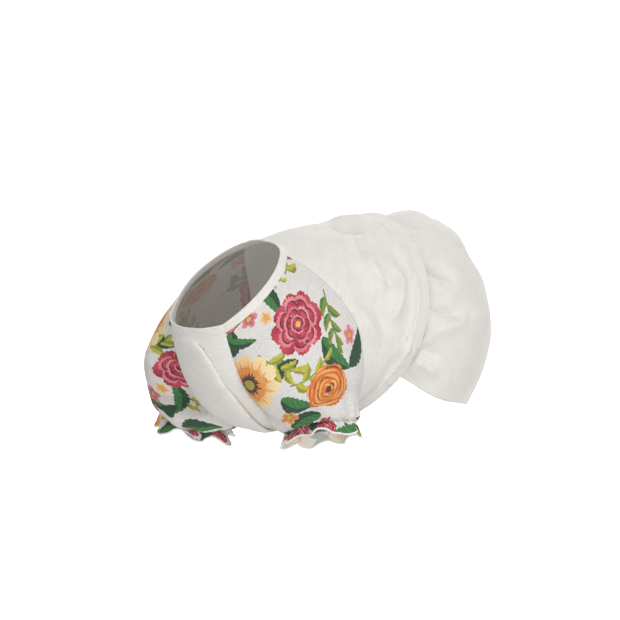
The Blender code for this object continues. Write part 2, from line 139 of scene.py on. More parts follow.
# Rings of a sleeve, neck to frill: centre x of HALF_WIDTH, y of LENGTH, z of DEPTH, half axes of
# HALF_WIDTH across and along, pitch in degrees, the share of REACH that the right one goes, and
# the lift of the outer side in degrees, left and right.
SLEEVE = (
    (0.000, -0.385, -0.231, 0.637, 0.791, 34.0, 0.00, 0.0, 0.0),
    (0.110, -0.333, -0.296, 0.710, 0.890, 34.7, 0.15, 0.0, 0.0),
    (0.275, -0.289, -0.389, 0.700, 0.900, 30.0, 0.35, 0.0, 0.0),
    (0.440, -0.244, -0.491, 0.637, 0.850, 27.5, 0.52, 0.0, 4.0),
    (0.571, -0.204, -0.602, 0.560, 0.760, 26.0, 0.66, 0.0, 9.0),
    (0.637, -0.167, -0.704, 0.520, 0.660, 22.0, 0.78, 8.0, 16.0),
    (0.675, -0.144, -0.795, 0.475, 0.540, 16.0, 0.88, 22.0, 26.0),
    (0.715, -0.122, -0.872, 0.445, 0.470, 7.0, 0.93, 26.0, 22.0),
    (0.732, -0.115, -0.908, 0.430, 0.440, -2.0, 0.96, 25.0, 14.0),
    (0.732, -0.115, -0.920, 0.418, 0.418, -6.0, 0.98, 25.5, 11.0),
    (0.725, -0.115, -0.930, 0.405, 0.405, -9.0, 1.00, 25.0, 9.0),
    (0.725, -0.115, -0.958, 0.430, 0.430, -9.5, 1.00, 24.0, 5.0),
    (0.725, -0.115, -0.990, 0.455, 0.455, -10.0, 1.00, 23.0, 2.0),
)
# Hem of the skirt from the centre line to the flank: x of HALF_WIDTH, y of LENGTH, z of DEPTH,
# and how far the cloth bulges halfway down, of SKIRT_BULGE.
SKIRT_HEM = (
    (0.000, 0.722, -0.060, 0.8),
    (0.350, 0.726, -0.115, 0.7),
    (0.580, 0.729, -0.225, 0.6),
    (0.750, 0.740, -0.315, 0.7),
    (0.840, 0.742, -0.407, 0.8),
    (0.910, 0.744, -0.532, 0.9),
    (0.935, 0.735, -0.648, 1.0),
    (0.930, 0.690, -0.810, 1.0),
    (0.890, 0.620, -0.963, 1.0),
)
SKIRT_BULGE = 0.012
SKIRT_SPREAD = 0.77
SKIRT_SEAM_ROW = 10.0
# Share of the skirt's rows inside the hem, its distance from it, the point that it is pressed
# towards, and the dent where it comes out: place, span and depth.
SKIRT_INSIDE = 0.12
SKIRT_NEST = CAD_CLOTH * 1.4 + HEM_ROLL * 1.6
SKIRT_HEART = np.array((0.0, 0.25, -0.45)) * SIZES
SKIRT_DENT = (0.14, 0.06)
SKIRT_SINK = 0.0035
SKIRT_FREE = 0.06
SKIRT_TURN = 0.005
SKIRT_ROLL = 0.0008

# Folds: radius to the left and to the right of the line and height, of FOLD, then the line. A
# fold starts narrow, grows along its line, and its ends run out beyond it.
FOLD = 0.010
FOLD_START = 0.75
FOLD_GROWTH = 0.5
FOLD_ENDS = 0.3
FOLD_TAPER = 0.38
FOLD_SHAPE = 1.6
RIPPLE_HEIGHT = 0.0006
RIPPLE_SIZE = 0.045
RIPPLE_WAVES = 9
# Deep fold of the chest panel: its line, and its section as place and height before the cloth
# folds, then across and out in mm. The cloth left of the line hangs over the cloth on its right.
TUCK_ROWS = 0.7
TUCK_END = 0.2
TUCK_LINE = ((0.05, -0.614, -0.423), (0.18, -0.603, -0.435), (0.261, -0.584, -0.474),
             (0.312, -0.563, -0.530), (0.359, -0.545, -0.594), (0.384, -0.521, -0.652),
             (0.410, -0.474, -0.718), (0.390, -0.414, -0.804), (0.305, -0.325, -0.905),
             (0.240, -0.240, -0.950), (0.190, -0.150, -0.970))
TUCK = (
    (-24.0, -24.0, 0.0), (-18.0, -18.0, 0.7), (-12.0, -11.8, 2.0), (-7.0, -6.4, 3.1),
    (-4.0, -2.7, 3.7), (-2.5, -0.7, 3.8), (-1.5, 0.6, 3.5), (-0.8, 1.3, 2.9), (0.0, 1.4, 2.2),
    (0.8, 0.7, 1.6), (1.6, -0.6, 1.3), (2.6, -2.2, 0.9), (3.4, -3.0, 0.2), (4.4, -2.6, -0.5),
    (6.0, -0.6, -0.8), (9.0, 4.2, -0.6), (14.0, 12.0, -0.2), (20.0, 20.0, 0.0),
)
BODY_FOLDS = (
    (2.00, 2.00, 0.32, ((0.25, -0.30, -0.93), (0.30, -0.18, -0.955))),
    (0.60, 0.60, -0.25, ((0.22, -0.60, -0.45), (0.33, -0.57, -0.53), (0.42, -0.52, -0.66),
                         (0.47, -0.46, -0.75), (0.42, -0.38, -0.83), (0.28, -0.28, -0.92))),
    (1.00, 1.10, 0.60, ((-0.06, 0.16, 0.01), (0.07, 0.30, 0.01))),
    (0.45, 0.70, -0.95, ((0.10, 0.10, 0.01), (0.26, 0.13, 0.00), (0.33, 0.20, -0.02))),
    (0.60, 0.60, -0.60, ((0.49, 0.15, -0.06), (0.65, 0.15, -0.12))),
    (0.50, 0.80, 0.85, ((0.64, 0.11, -0.11), (0.81, 0.14, -0.21), (0.90, 0.17, -0.27))),
    (0.60, 0.80, 0.80, ((0.75, 0.24, -0.16), (0.87, 0.25, -0.24), (0.95, 0.22, -0.32),
                        (0.99, 0.17, -0.44))),
    (0.60, 0.60, -0.60, ((0.72, 0.19, -0.15), (0.90, 0.20, -0.26))),
    (0.90, 0.90, -0.28, ((0.63, 0.28, -0.09), (0.86, 0.29, -0.22))),
    (0.80, 0.80, 0.60, ((1.00, 0.21, -0.55), (0.93, 0.30, -0.63))),
    (0.70, 0.70, 0.50, ((1.00, 0.02, -0.33), (0.98, 0.09, -0.50))),
    (0.80, 0.80, -0.50, ((1.00, 0.08, -0.30), (1.00, 0.14, -0.46))),
    (0.50, 0.50, 0.45, ((0.86, 0.20, -0.74), (0.80, 0.27, -0.80))),
)
SKIRT_FOLDS = (
    (0.35, 0.60, -1.00, ((0.74, 0.40, -0.215), (0.85, 0.52, -0.274))),
    (0.90, 0.70, 0.45, ((0.85, 0.41, -0.29), (1.00, 0.53, -0.373))),
    (0.45, 0.50, -0.75, ((0.91, 0.40, -0.42), (1.03, 0.52, -0.463))),
    (1.10, 0.70, 0.62, ((0.97, 0.38, -0.525), (1.06, 0.55, -0.485))),
    (0.45, 0.60, -0.62, ((0.92, 0.35, -0.60), (0.965, 0.43, -0.66))),
    (0.60, 0.40, 0.50, ((0.89, 0.33, -0.665), (1.01, 0.42, -0.747))),
    (0.70, 0.70, -0.50, ((0.85, 0.29, -0.735), (0.88, 0.36, -0.82))),
    (1.00, 1.00, 0.35, ((0.99, 0.62, -0.47), (0.93, 0.72, -0.53))),
    (0.70, 1.00, -0.35, ((0.30, 0.42, -0.03), (0.36, 0.60, -0.06))),
    (0.90, 0.90, 0.30, ((0.10, 0.43, 0.00), (0.07, 0.64, -0.03))),
    (0.80, 0.80, -0.30, ((-0.22, 0.42, -0.01), (-0.30, 0.58, -0.05))),
)

# Folds of the left flank are repeated, lower, on the right one, which the photograph hides.
HIDDEN_SHARE = 0.75
FLANK = 0.4
HIDDEN_SHIFT = 0.02


def on_both_sides(folds):
    """The folds, and those that lie wholly on the left flank once more on the right."""
    every = list(folds)
    for left, right, rise, line in folds:
        if min(point[0] for point in line) > FLANK:
            mirror = tuple((-x, y + HIDDEN_SHIFT, z) for x, y, z in line)
            every.append((right, left, rise * HIDDEN_SHARE, mirror))
    return every


# Fine rows to each row of the tables, and columns of the sheets.
FINE = 18
CUFF_FINE = 10
CHEST_COLUMNS = 176
BACK_COLUMNS = 190
SLEEVE_COLUMNS = 256
SKIRT_ROWS = 70
SKIRT_COLUMNS = 210

# Seams, hems and stitches.
SEAM_DIP = 0.0009
SEAM_SOFT = 0.0022
PUCKER = 0.00022
PUCKER_PITCH = 0.0068
PUCKER_SWAY = 1.6
SWAY_LENGTH = 0.011
PUCKER_PLACE = 0.003
PUCKER_SPAN = 0.004
DIP_FADE = 6
HEM_STEPS = 6
HEM_FLARE = 0.0030
FLARE_ROW = 8.3
FLARE_SHAPE = 1.6
STITCH_LENGTH = 0.0021
STITCH_PITCH = 0.0029
STITCH_RADIUS = 0.00028
SEAM_STITCH = 0.0024
STITCH_ROWS = 6
HEM_STITCH = 0.001
BEFORE_HEM = -4
SKIRT_STITCH = 0.0045
# One stitch: place along it and thickness, its sides, and how far its ends bend down.
GRAIN = ((-0.5, 0.35), (-0.32, 0.85), (0.0, 1.0), (0.32, 0.85), (0.5, 0.35))
GRAIN_SIDES = 6
GRAIN_BEND = 3.2

# Neck band and the overlocked edges of the frills.
BAND_CLOTH = 0.0022
BAND_HEIGHT = 0.0085
BAND_LAP = 0.0016
BAND_STITCH = 0.0012
BAND_STEPS = 420
BAND_SIDES = 26
BAND_SMOOTHING = 12
# The band's section: how round it is along and out, the depth and span of its stitch groove, and
# the share, pitch, place and span of its puckers. BAND_CUT adds the turnings to its two faces.
BAND_ROUND = (0.55, 0.5)
BAND_GROOVE = (0.00035, 0.0007)
BAND_PUCKER = (0.07, 0.0021, 0.001, 0.003)
THREAD_SINK = 0.0003
EDGE_STEPS = 760
EDGE_SIDES = 9
EDGE_RADIUS = 0.0011
EDGE_PITCH = 0.0016
EDGE_WOUND = 0.14

# Gathers over the elastic, soft folds above them, both with middle row and span, and the frill.
GATHER_ROWS = (9.4, 1.9)
GATHER_WAVES = ((19, 0.4, 0.9), (31, 1.9, 0.7), (47, 4.1, 0.45))
GATHER_SWAY = 1.4
GATHER_HEIGHT = 0.0021
OFF_SEAMS = 6
PUFF_ROWS = (7.4, 2.3)
PUFF_FOLDS = 12
PUFF_START = 0.8
PUFF_SWAY = 1.1
PUFF_LEAN = 0.16
PUFF_HEIGHT = 0.0017
ELASTIC_GROOVE = 0.0026
ELASTIC_SPAN = 0.30
FRILL_LOBES = 7
FRILL_WAVE = 0.0040
FRILL_DIP = 0.0028
DIP_START = 0.9
FRILL_MEANDER = 0.0010
CURL_SHAPE = 1.5
NUDGE = 0.01
# Curls of the frills: side, place and width round the ring in radians, how far up and out.
FRILL_CURLS = (
    (1, -0.74, 0.20, 0.0075, 0.0040),
    (1, -0.33, 0.18, -0.0020, 0.0),
    (1, -2.45, 0.22, -0.0020, 0.0),
    (-1, -1.45, 0.16, -0.0045, 0.0030),
    (-1, -1.95, 0.24, 0.0050, 0.0020),
    (-1, -3.30, 0.20, -0.0040, 0.0040),
)


def between(table, row):
    """Smooth values of a table, on the last axis, at rows that may lie between its rows."""
    table = np.array(table, float)
    last = len(table) - 1
    row = np.asarray(row, float)
    low = np.minimum(row.astype(int), last - 1)
    f = (row - low)[..., None]
    p, q, s, t = (table[np.clip(low + k, 0, last)] for k in (-1, 0, 1, 2))
    return q + 0.5 * f * (s - p + f * (2 * p - 5 * q + 4 * s - t + f * (3 * (q - s) + t - p)))


def columns(values):
    return np.moveaxis(values, -1, 0)


def stack(x, y, z):
    return np.stack(np.broadcast_arrays(x, y, z), -1)


def unit(v):
    return v / np.maximum(np.linalg.norm(v, axis=-1, keepdims=True), 1e-12)


def bell(value, middle, span):
    return np.exp(-((value - middle) / span) ** 2)


def smooth(share):
    share = np.clip(share, 0, 1)
    return share * share * (3 - 2 * share)


def seam(side, row, raglan):
    """Points of a seam on the wearer's left (side 1) or right (side -1)."""
    upper = between(raglan, np.minimum(row, ARMPIT))
    lower = between(SIDE_SEAM, np.maximum(row - ARMPIT, 0))
    point = np.where((row > ARMPIT)[..., None], lower, upper) * SIZES
    point[..., 0] *= side
    if side < 0:
        pull = between([(share,) for share in SEAM_PULL], row)[..., 0]
        point[..., 1] -= REACH * pull
    return point


def body_edge(row, t, raglan):
    """Edge of a body panel on the side that t, from -1 right to 1 left, lies on."""
    return np.where((t >= 0)[..., None], seam(1, row, raglan), seam(-1, row, raglan))


def across(middle, edge, full, t, sweep=None):
    """Section of a body panel from its middle to its edge, along an arc of the angle full."""
    angle = full * abs(t)
    share = (1 - np.cos(angle)) / (1 - np.cos(full))
    point = middle + (edge - middle) * share[..., None]
    point[..., 0] = edge[..., 0] * np.sin(angle) / np.sin(full)
    if sweep is not None:
        point[..., 1] = middle[..., 1] + (edge[..., 1] - middle[..., 1]) * share ** sweep
    return point


def chest_surface(row, t):
    y, z, turn = columns(between(CHEST, row))
    edge = body_edge(row, t, FRONT_SEAM)
    return across(stack(0.0, y, z) * SIZES, edge, np.radians(turn), t)


def back_turns():
    """Half turn of the back panel's section at each row of its table."""
    rows = np.arange(HEM + 1.0)
    width = between(BACK, rows)[:, 2] * HALF_WIDTH
    full = np.arcsin(np.minimum(1.0, seam(1, rows, REAR_SEAM)[:, 0] / width))
    return [(turn,) for turn in np.where(rows > WIDEST_ROW, np.pi - full, full)]


def back_surface(row, t):
    y, z, _, sweep = columns(between(BACK, row))
    full = between(back_turns(), row)[..., 0]
    return across(stack(0.0, y, z) * SIZES, body_edge(row, t, REAR_SEAM), full, t, sweep)


def sleeve_rings(side, row):
    """Centres, directions and half axes of a sleeve's rings."""
    x, y, z, wide, long, pitch, reach, lift, right_lift = columns(between(SLEEVE, row))
    centre = stack(x, y, z) * SIZES
    wide = wide * HALF_WIDTH
    long = long * HALF_WIDTH
    if side < 0:
        centre = centre + np.array((RIGHT_OUT, -REACH, -RIGHT_DROP)) * reach[..., None]
        rise = np.minimum(row / ARMPIT, 1.0) ** PUFF_RISE
        puff = 1 + (RIGHT_PUFF - 1) * np.sin(np.pi * rise)
        wide = wide * puff
        long = long * puff
        lift = right_lift
    slope = np.radians(pitch)
    lift = np.radians(lift)
    out = stack(np.cos(lift), 0.0, np.sin(lift)) * wide[..., None]
    back = stack(0.0, np.cos(slope), np.sin(slope)) * long[..., None]
    return centre, out, back


def mirrored(point, side):
    return point * np.array((side, 1, 1))


def gathers(row, t, angle):
    """Height of the gathers at the elastic and of the long soft folds above it."""
    off_seams = np.minimum(1.0, OFF_SEAMS * np.minimum(t, 1 - t))
    sway = PUFF_SWAY * np.sin(2 * angle + PUFF_LEAN * row)
    puff = bell(row, *PUFF_ROWS) * off_seams * np.sin(PUFF_FOLDS * angle + PUFF_START + sway)
    wave = 0.0
    for count, start, share in GATHER_WAVES:
        sway = GATHER_SWAY * np.sin(3 * angle + start)
        wave = wave + share * np.sin(count * angle + start + sway)
    gather = GATHER_HEIGHT * (bell(row, *GATHER_ROWS) * off_seams) * wave
    return gather + PUFF_HEIGHT * puff - ELASTIC_GROOVE * bell(row, ELASTIC, ELASTIC_SPAN)


def sleeve_surface(side, row, t):
    """Sleeve at rows and at t from 0 on the front seam to 1 on the rear one."""
    centre, out, back = sleeve_rings(side, row)
    capped = np.minimum(row, ARMPIT)
    front = mirrored(seam(side, capped, FRONT_SEAM), side)
    rear = mirrored(seam(side, capped, REAR_SEAM), side)

    def ring(angle):
        return centre + out * np.cos(angle)[..., None] + back * np.sin(angle)[..., None]

    def angle_of(point):
        local = point - centre
        a = (local * back).sum(-1) / (back ** 2).sum(-1)
        b = (local * out).sum(-1) / (out ** 2).sum(-1)
        return np.arctan2(a, b)

    start = angle_of(front)
    start = np.where(start > LAST_FRONT_ANGLE, start - 2 * np.pi, start)
    stop = angle_of(rear)
    if side < 0:
        wide = np.linalg.norm(out, axis=-1)
        inner = np.maximum(-1.0, (front[..., 0] - centre[..., 0] + BESIDE_CHEST) / wide)
        beside = -np.arccos(np.minimum(inner, 1.0))
        free = np.clip(row - FREE_ROW, 0.0, 1.0)
        start = start + (np.maximum(start, beside) - start) * (1 - free)
    angle = start + (stop - start) * t
    low = (capped / ARMPIT) ** 2
    leave = [a + (b - a) * low for a, b in (FRONT_LEAVE[side], REAR_LEAVE[side])]
    upper = ring(angle)
    upper = upper + (front - ring(start)) * ((1 - t) ** leave[0])[..., None]
    upper = upper + (rear - ring(stop)) * (t ** leave[1])[..., None]

    heart = sleeve_rings(side, np.array(float(ARMPIT)))[0]
    armpit = mirrored(seam(side, np.array(float(ARMPIT)), FRONT_SEAM), side)
    aim = math.atan2(armpit[1] - heart[1], armpit[0] - heart[0])
    turned = aim - 2 * np.pi + 2 * np.pi * t
    radius = SLEEVE[ARMPIT][3] * HALF_WIDTH
    stray = armpit - heart - np.array((math.cos(aim), math.sin(aim), 0.0)) * radius
    fade = np.maximum(0.0, 1 - (row - ARMPIT) / STRAY_ROWS) ** 2
    near = np.maximum((1 - t) ** FRONT_LEAVE[side][1], t ** REAR_LEAVE[side][1])
    lower = ring(turned) + stray * (near * fade)[..., None]

    below = row > ARMPIT
    angle = np.where(below, turned, angle)
    point = np.where(below[..., None], lower, upper)
    away = unit(ring(angle) - centre)
    point = point + away * gathers(row, t, angle)[..., None]
    depth = np.maximum(0.0, (row - ELASTIC) / (FRILL - ELASTIC))
    wave = FRILL_WAVE * depth * np.sin(FRILL_LOBES * angle)
    point = point + away * wave[..., None]
    point[..., 2] -= FRILL_DIP * depth * np.sin(FRILL_LOBES * angle + DIP_START)
    round_way = unit(ring(angle + NUDGE) - ring(angle))
    swing = FRILL_MEANDER * depth * np.sin(2 * FRILL_LOBES * angle)
    point = point - round_way * swing[..., None]
    for which, place, width, up, flare in FRILL_CURLS:
        if which == side:
            off = (angle - place + np.pi) % (2 * np.pi) - np.pi
            curl = depth ** CURL_SHAPE * bell(off, 0.0, width)
            point = point + away * (flare * curl)[..., None]
            point[..., 2] += up * curl
    return mirrored(point, side)


def skirt_surface(f, t):
    """Skirt at f from 0 on its seam to 1 at its hem and at t from -1 right to 1 left."""
    row = np.full_like(t, SKIRT_SEAM_ROW)
    start = back_surface(row, SKIRT_SPREAD * t)
    edge = back_surface(np.full_like(t, float(HEM)), SKIRT_SPREAD * t)
    x, y, z, bulge = columns(between(SKIRT_HEM, abs(t) * (len(SKIRT_HEM) - 1)))
    hem = stack(x * np.where(t >= 0, 1, -1), y, z) * SIZES
    inward = unit((SKIRT_HEART - edge) * np.array((1, 0, 1)))
    start = start + inward * SKIRT_NEST
    edge = edge + inward * SKIRT_NEST
    down = np.clip((f - SKIRT_INSIDE) / (1 - SKIRT_INSIDE), 0.0, 1.0)[..., None]
    inside = np.clip(f / SKIRT_INSIDE, 0.0, 1.0)[..., None]
    free = edge + (hem - edge) * down
    free = free - inward * (bulge * SKIRT_BULGE)[..., None] * np.sin(np.pi * down) ** 1.5
    return np.where((f < SKIRT_INSIDE)[..., None], start + (edge - start) * inside, free)


def mesh_grid(rows, ts):
    return np.meshgrid(rows, ts, indexing="ij")


def normals_of(points, flip):
    """Normals of a grid of points."""
    down = np.gradient(points, axis=0)
    along = np.gradient(points, axis=1)
    normal = unit(np.cross(down, along))
    return -normal if flip else normal


def near_line(points, normals, line):
    """Distance of points from a line, which side they lie on and how far along it."""
    best = np.full(points.shape[:-1], 1e9)
    side = np.zeros(points.shape[:-1])
    place = np.zeros(points.shape[:-1])
    ways = np.zeros(points.shape)
    start = 0.0
    for a, b in zip(line, line[1:]):
        size = np.linalg.norm(b - a)
        along = (b - a) / size
        share = np.clip((points - a) @ along / size, 0, 1)
        off = points - a - (share * size)[..., None] * along
        away = np.linalg.norm(off, axis=-1)
        across = unit(np.cross(normals, along))
        near = away < best
        side = np.where(near, (off * across).sum(-1), side)
        place = np.where(near, start + share * size, place)
        ways = np.where(near[..., None], across, ways)
        best = np.minimum(best, away)
        start += size
    return best, side, place / start, ways


def fold_height(points, normals, folds):
    """Height of all folds at points: a fold may be steeper on one side, and its ends taper."""
    height = np.zeros(points.shape[:-1])
    for left, right, rise, line in folds:
        line = np.array(line) * SIZES
        ends = line[0] - FOLD_ENDS * (line[1] - line[0]), line[-1] + FOLD_ENDS * (line[-1] - line[-2])
        line = np.concatenate([ends[:1], line, ends[1:]])
        best, side, place, _ = near_line(points, normals, line)
        radius = np.where(side < 0, left, right) * FOLD * (FOLD_START + FOLD_GROWTH * place)
        taper = smooth(np.minimum(place, 1 - place) / FOLD_TAPER)
        height += rise * FOLD * taper * np.exp(-(best / radius) ** FOLD_SHAPE)
    return height


def tucked(points, normals):
    """Points of the chest panel moved into its deep fold."""
    _, side, place, ways = near_line(points, normals, np.array(TUCK_LINE) * SIZES)
    ways = unit(ways)
    at, out_across, out = np.array(TUCK).T / 1000
    ends = np.clip(body_rows / TUCK_ROWS, 0, 1)[:, None] * np.clip((1 - place) / TUCK_END, 0, 1)
    ends = smooth(ends)
    shift = (np.interp(side, at, out_across) - side) * (side > at[0]) * (side < at[-1])
    height = np.interp(side, at, out)
    return points + ways * (shift * ends)[..., None] + normals * (height * ends)[..., None]


def ripple(points, seed):
    """Soft unevenness of the cloth: sine waves in directions that the seed chooses."""
    pick = np.random.default_rng(seed)
    total = np.zeros(points.shape[:-1])
    for _ in range(RIPPLE_WAVES):
        way = unit(pick.normal(size=3)) * 2 * np.pi / (RIPPLE_SIZE * pick.uniform(0.6, 1.6))
        total += np.sin(points @ way + pick.uniform(0, 6.3))
    return RIPPLE_HEIGHT * (total / (RIPPLE_WAVES / 2))


def lengths(points, axis):
    """Length along the rows or columns of a grid, from its first line."""
    step = np.linalg.norm(np.diff(points, axis=axis), axis=-1)
    start = np.zeros_like(np.take(step, [0], axis=axis))
    return np.cumsum(np.concatenate([start, step], axis=axis), axis=axis)


def seam_dip(points):
    """How deep the cloth sinks towards the seams at the first and the last column."""
    run = lengths(points, 1)
    rest = run[:, -1:] - run
    near = np.minimum(run, rest)
    down = lengths(points, 0)
    sway = PUCKER_SWAY * np.sin(down / SWAY_LENGTH)
    wave = np.sin(down / PUCKER_PITCH * 2 * np.pi + sway)
    pucker = PUCKER * wave * bell(near, PUCKER_PLACE, PUCKER_SPAN)
    return SEAM_DIP * bell(near, 0.0, SEAM_SOFT) + pucker


# Sheets of the body and the sleeves.
body_rows = np.linspace(0, HEM, HEM * FINE + 1)
sleeve_rows = np.concatenate([
    np.linspace(0, ARMPIT, ARMPIT * FINE + 1),
    np.linspace(ARMPIT, FRILL, (FRILL - ARMPIT) * CUFF_FINE + 1)[1:],
])
armpit_line = ARMPIT * FINE
chest = chest_surface(*mesh_grid(body_rows, np.linspace(-1, 1, CHEST_COLUMNS + 1)))
back = back_surface(*mesh_grid(body_rows, np.linspace(-1, 1, BACK_COLUMNS + 1)))
left_grid = mesh_grid(sleeve_rows, np.linspace(0, 1, SLEEVE_COLUMNS + 1))
left = sleeve_surface(1, *left_grid)
right = sleeve_surface(-1, *left_grid)
FLIP = {"chest": False, "back": True, "left": False, "right": True}


def shared_edges(chest, back, left, right):
    """Pairs of grid lines that are the same seam."""
    end = armpit_line + 1
    return (
        (chest[:end, -1], left[:end, 0]),
        (chest[:end, 0], right[:end, 0]),
        (back[:end, -1], left[:end, -1]),
        (back[:end, 0], right[:end, -1]),
        (chest[armpit_line:, -1], back[armpit_line:, -1]),
        (chest[armpit_line:, 0], back[armpit_line:, 0]),
        (left[armpit_line:, 0], left[armpit_line:, -1]),
        (right[armpit_line:, 0], right[armpit_line:, -1]),
    )


def joined_normals():
    found = [
        normals_of(grid, FLIP[name])
        for name, grid in (("chest", chest), ("back", back), ("left", left), ("right", right))
    ]
    for _ in range(2):
        for a, b in shared_edges(*found):
            a[:] = b[:] = unit(a + b)
    return found


normals = joined_normals()
body_fade = np.clip(np.minimum(body_rows, HEM - body_rows), 0, 1)[:, None]
sleeve_fade = np.clip(sleeve_rows, 0, 1)[:, None]
flare = HEM_FLARE * np.clip((body_rows - FLARE_ROW) / (HEM - FLARE_ROW), 0, 1)[:, None] ** FLARE_SHAPE
moved = []
for points, normal, fade, lift in zip((chest, back, left, right), normals,
                                      (body_fade, body_fade, sleeve_fade, sleeve_fade),
                                      (flare, flare, 0.0, 0.0)):
    height = fold_height(points, normal, on_both_sides(BODY_FOLDS)) * fade + lift
    height += ripple(points, 3) * fade
    moved.append(points + normal * height[..., None])
chest, back, left, right = moved
chest = tucked(chest, normals[0])
normals = joined_normals()
moved = []
for points, normal, last in zip((chest, back, left, right), normals,
                                (HEM * FINE, HEM * FINE, armpit_line, armpit_line)):
    dip = seam_dip(points)
    fade = np.clip((last + DIP_FADE - np.arange(len(points))) / DIP_FADE, 0, 1)[:, None]
    moved.append(points - normal * (dip * fade)[..., None])
chest, back, left, right = moved
for a, b in shared_edges(chest, back, left, right):
    a[:] = b[:] = (a + b) / 2
normals = joined_normals()


def with_hem(points, normals, depth=HEM_TURN, roll=HEM_ROLL / 2):
    """The grid with its last row turned round and carried forward inside it."""
    last = points[-1]
    normal = normals[-1]
    forward = points[-3] - last
    forward = unit(forward - normal * (forward * normal).sum(-1, keepdims=True))
    rows = []
    facing = []
    for k in range(1, HEM_STEPS + 1):
        a = math.pi * k / HEM_STEPS
        rows.append(last - normal * roll * (1 - math.cos(a)) - forward * roll * math.sin(a))
        facing.append(normal * math.cos(a) - forward * math.sin(a))
    for share in (0.25, 0.5, 0.75, 1.0):
        rows.append(last - normal * 2 * roll + forward * depth * share)
        facing.append(-normal)
    return np.concatenate([points, np.array(rows)]), np.concatenate([normals, np.array(facing)])


def in_scene(name, data):
    made = bpy.data.objects.new(name, data)
    bpy.context.scene.collection.objects.link(made)
    return made


def link(name, mesh, replaced, material):
    made = in_scene(name, mesh)
    mesh.shade_smooth()
    mesh.materials.append(material)
    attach(made, "root")
    if replaced:
        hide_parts(replaced)
    return made


def mesh_from(name, points, faces, fields):
    """A mesh whose points carry the fields, each one number or three, as attributes."""
    mesh = bpy.data.meshes.new(name)
    mesh.from_pydata(points.tolist(), [], faces.tolist())
    for label, values in fields.items():
        values = values.reshape(len(points), -1)
        kind, key = ("FLOAT", "value") if values.shape[1] == 1 else ("FLOAT_VECTOR", "vector")
        field = mesh.attributes.new(label, kind, "POINT")
        field.data.foreach_set(key, np.ascontiguousarray(values, dtype=np.float32).ravel())
    mesh.validate()
    return mesh


def shell(name, points, normals, fields, flip, closed_from):
    """A closed mesh of cloth around a grid of points, whose sides may meet from a row on."""
    rows, cols = points.shape[:2]
    index = np.arange(rows * cols).reshape(rows, cols)
    if closed_from is not None:
        index[closed_from:, -1] = index[closed_from:, 0]
    used, index = np.unique(index, return_inverse=True)
    index = index.reshape(rows, cols)
    cells = np.stack([index[:-1, :-1], index[1:, :-1], index[1:, 1:], index[:-1, 1:]], -1)
    cells = cells.reshape(-1, 4)
    if flip:
        cells = cells[:, ::-1]
    count = len(used)
    p = points.reshape(-1, 3)[used]
    n = normals.reshape(-1, 3)[used]
    edges = np.concatenate([cells[:, [k, (k + 1) % 4]] for k in range(4)])
    edges = edges[edges[:, 0] != edges[:, 1]]
    forth = edges[:, 0] * count + edges[:, 1]
    back_again = edges[:, 1] * count + edges[:, 0]
    free = edges[~np.isin(forth, back_again)]
    rim = np.stack([free[:, 1], free[:, 0], free[:, 0] + count, free[:, 1] + count], -1)
    faces = np.concatenate([cells, cells[:, ::-1] + count, rim])
    both = np.concatenate([p + n * CLOTH / 2, p - n * CLOTH / 2])
    doubled = {label: np.concatenate([values.reshape(rows * cols, -1)[used]] * 2)
               for label, values in fields.items()}
    doubled["inside"] = np.repeat((0.0, 1.0), count)
    return mesh_from(name, both, faces, doubled)


def cloth_field(points):
    """Place on the flat cloth in metres, from the middle column and the first row."""
    u = lengths(points, 1)
    u = u - u[:, u.shape[1] // 2][:, None]
    v = lengths(points, 0)[:, points.shape[1] // 2]
    v = np.broadcast_to(v[:, None], u.shape)
    return stack(u, v, 0.0)


def area_of(points):
    a = points[1:, 1:] - points[:-1, :-1]
    b = points[1:, :-1] - points[:-1, 1:]
    return float(np.linalg.norm(np.cross(a, b), axis=-1).sum() / 2)


def resampled(line, others, count, closed):
    """A line at count even steps, with other values carried along it."""
    if closed:
        line = np.concatenate([line, line[:1]])
        others = [np.concatenate([values, values[:1]]) for values in others]
    run = np.concatenate([[0.0], np.cumsum(np.linalg.norm(np.diff(line, axis=0), axis=1))])
    at = np.linspace(0, run[-1], count, endpoint=not closed)

    def pick(values):
        return np.stack([np.interp(at, run, values[:, k]) for k in range(3)], -1)

    return pick(line), [pick(values) for values in others], at


def tangents(line, closed):
    if closed:
        return unit(np.roll(line, -1, axis=0) - np.roll(line, 1, axis=0))
    return unit(np.gradient(line, axis=0))


def round_tube(name, rings, cloth):
    """A ring-shaped mesh from a grid that closes on itself both ways."""
    rows, cols = rings.shape[:2]
    index = np.arange(rows * cols).reshape(rows, cols)
    below = np.roll(index, -1, axis=0)
    cells = np.stack([index, below, np.roll(below, -1, axis=1), np.roll(index, -1, axis=1)], -1)
    fields = {"cloth": cloth, "inside": np.zeros(rows * cols)}
    return mesh_from(name, rings.reshape(-1, 3), cells.reshape(-1, 4), fields)


def neck_ring(depth, chest, back, left, right):
    """One row of each of the four grids, in order round the neck."""
    return np.concatenate([chest[depth, :-1], left[depth, :-1], back[depth, :0:-1],
                           right[depth, :0:-1]])


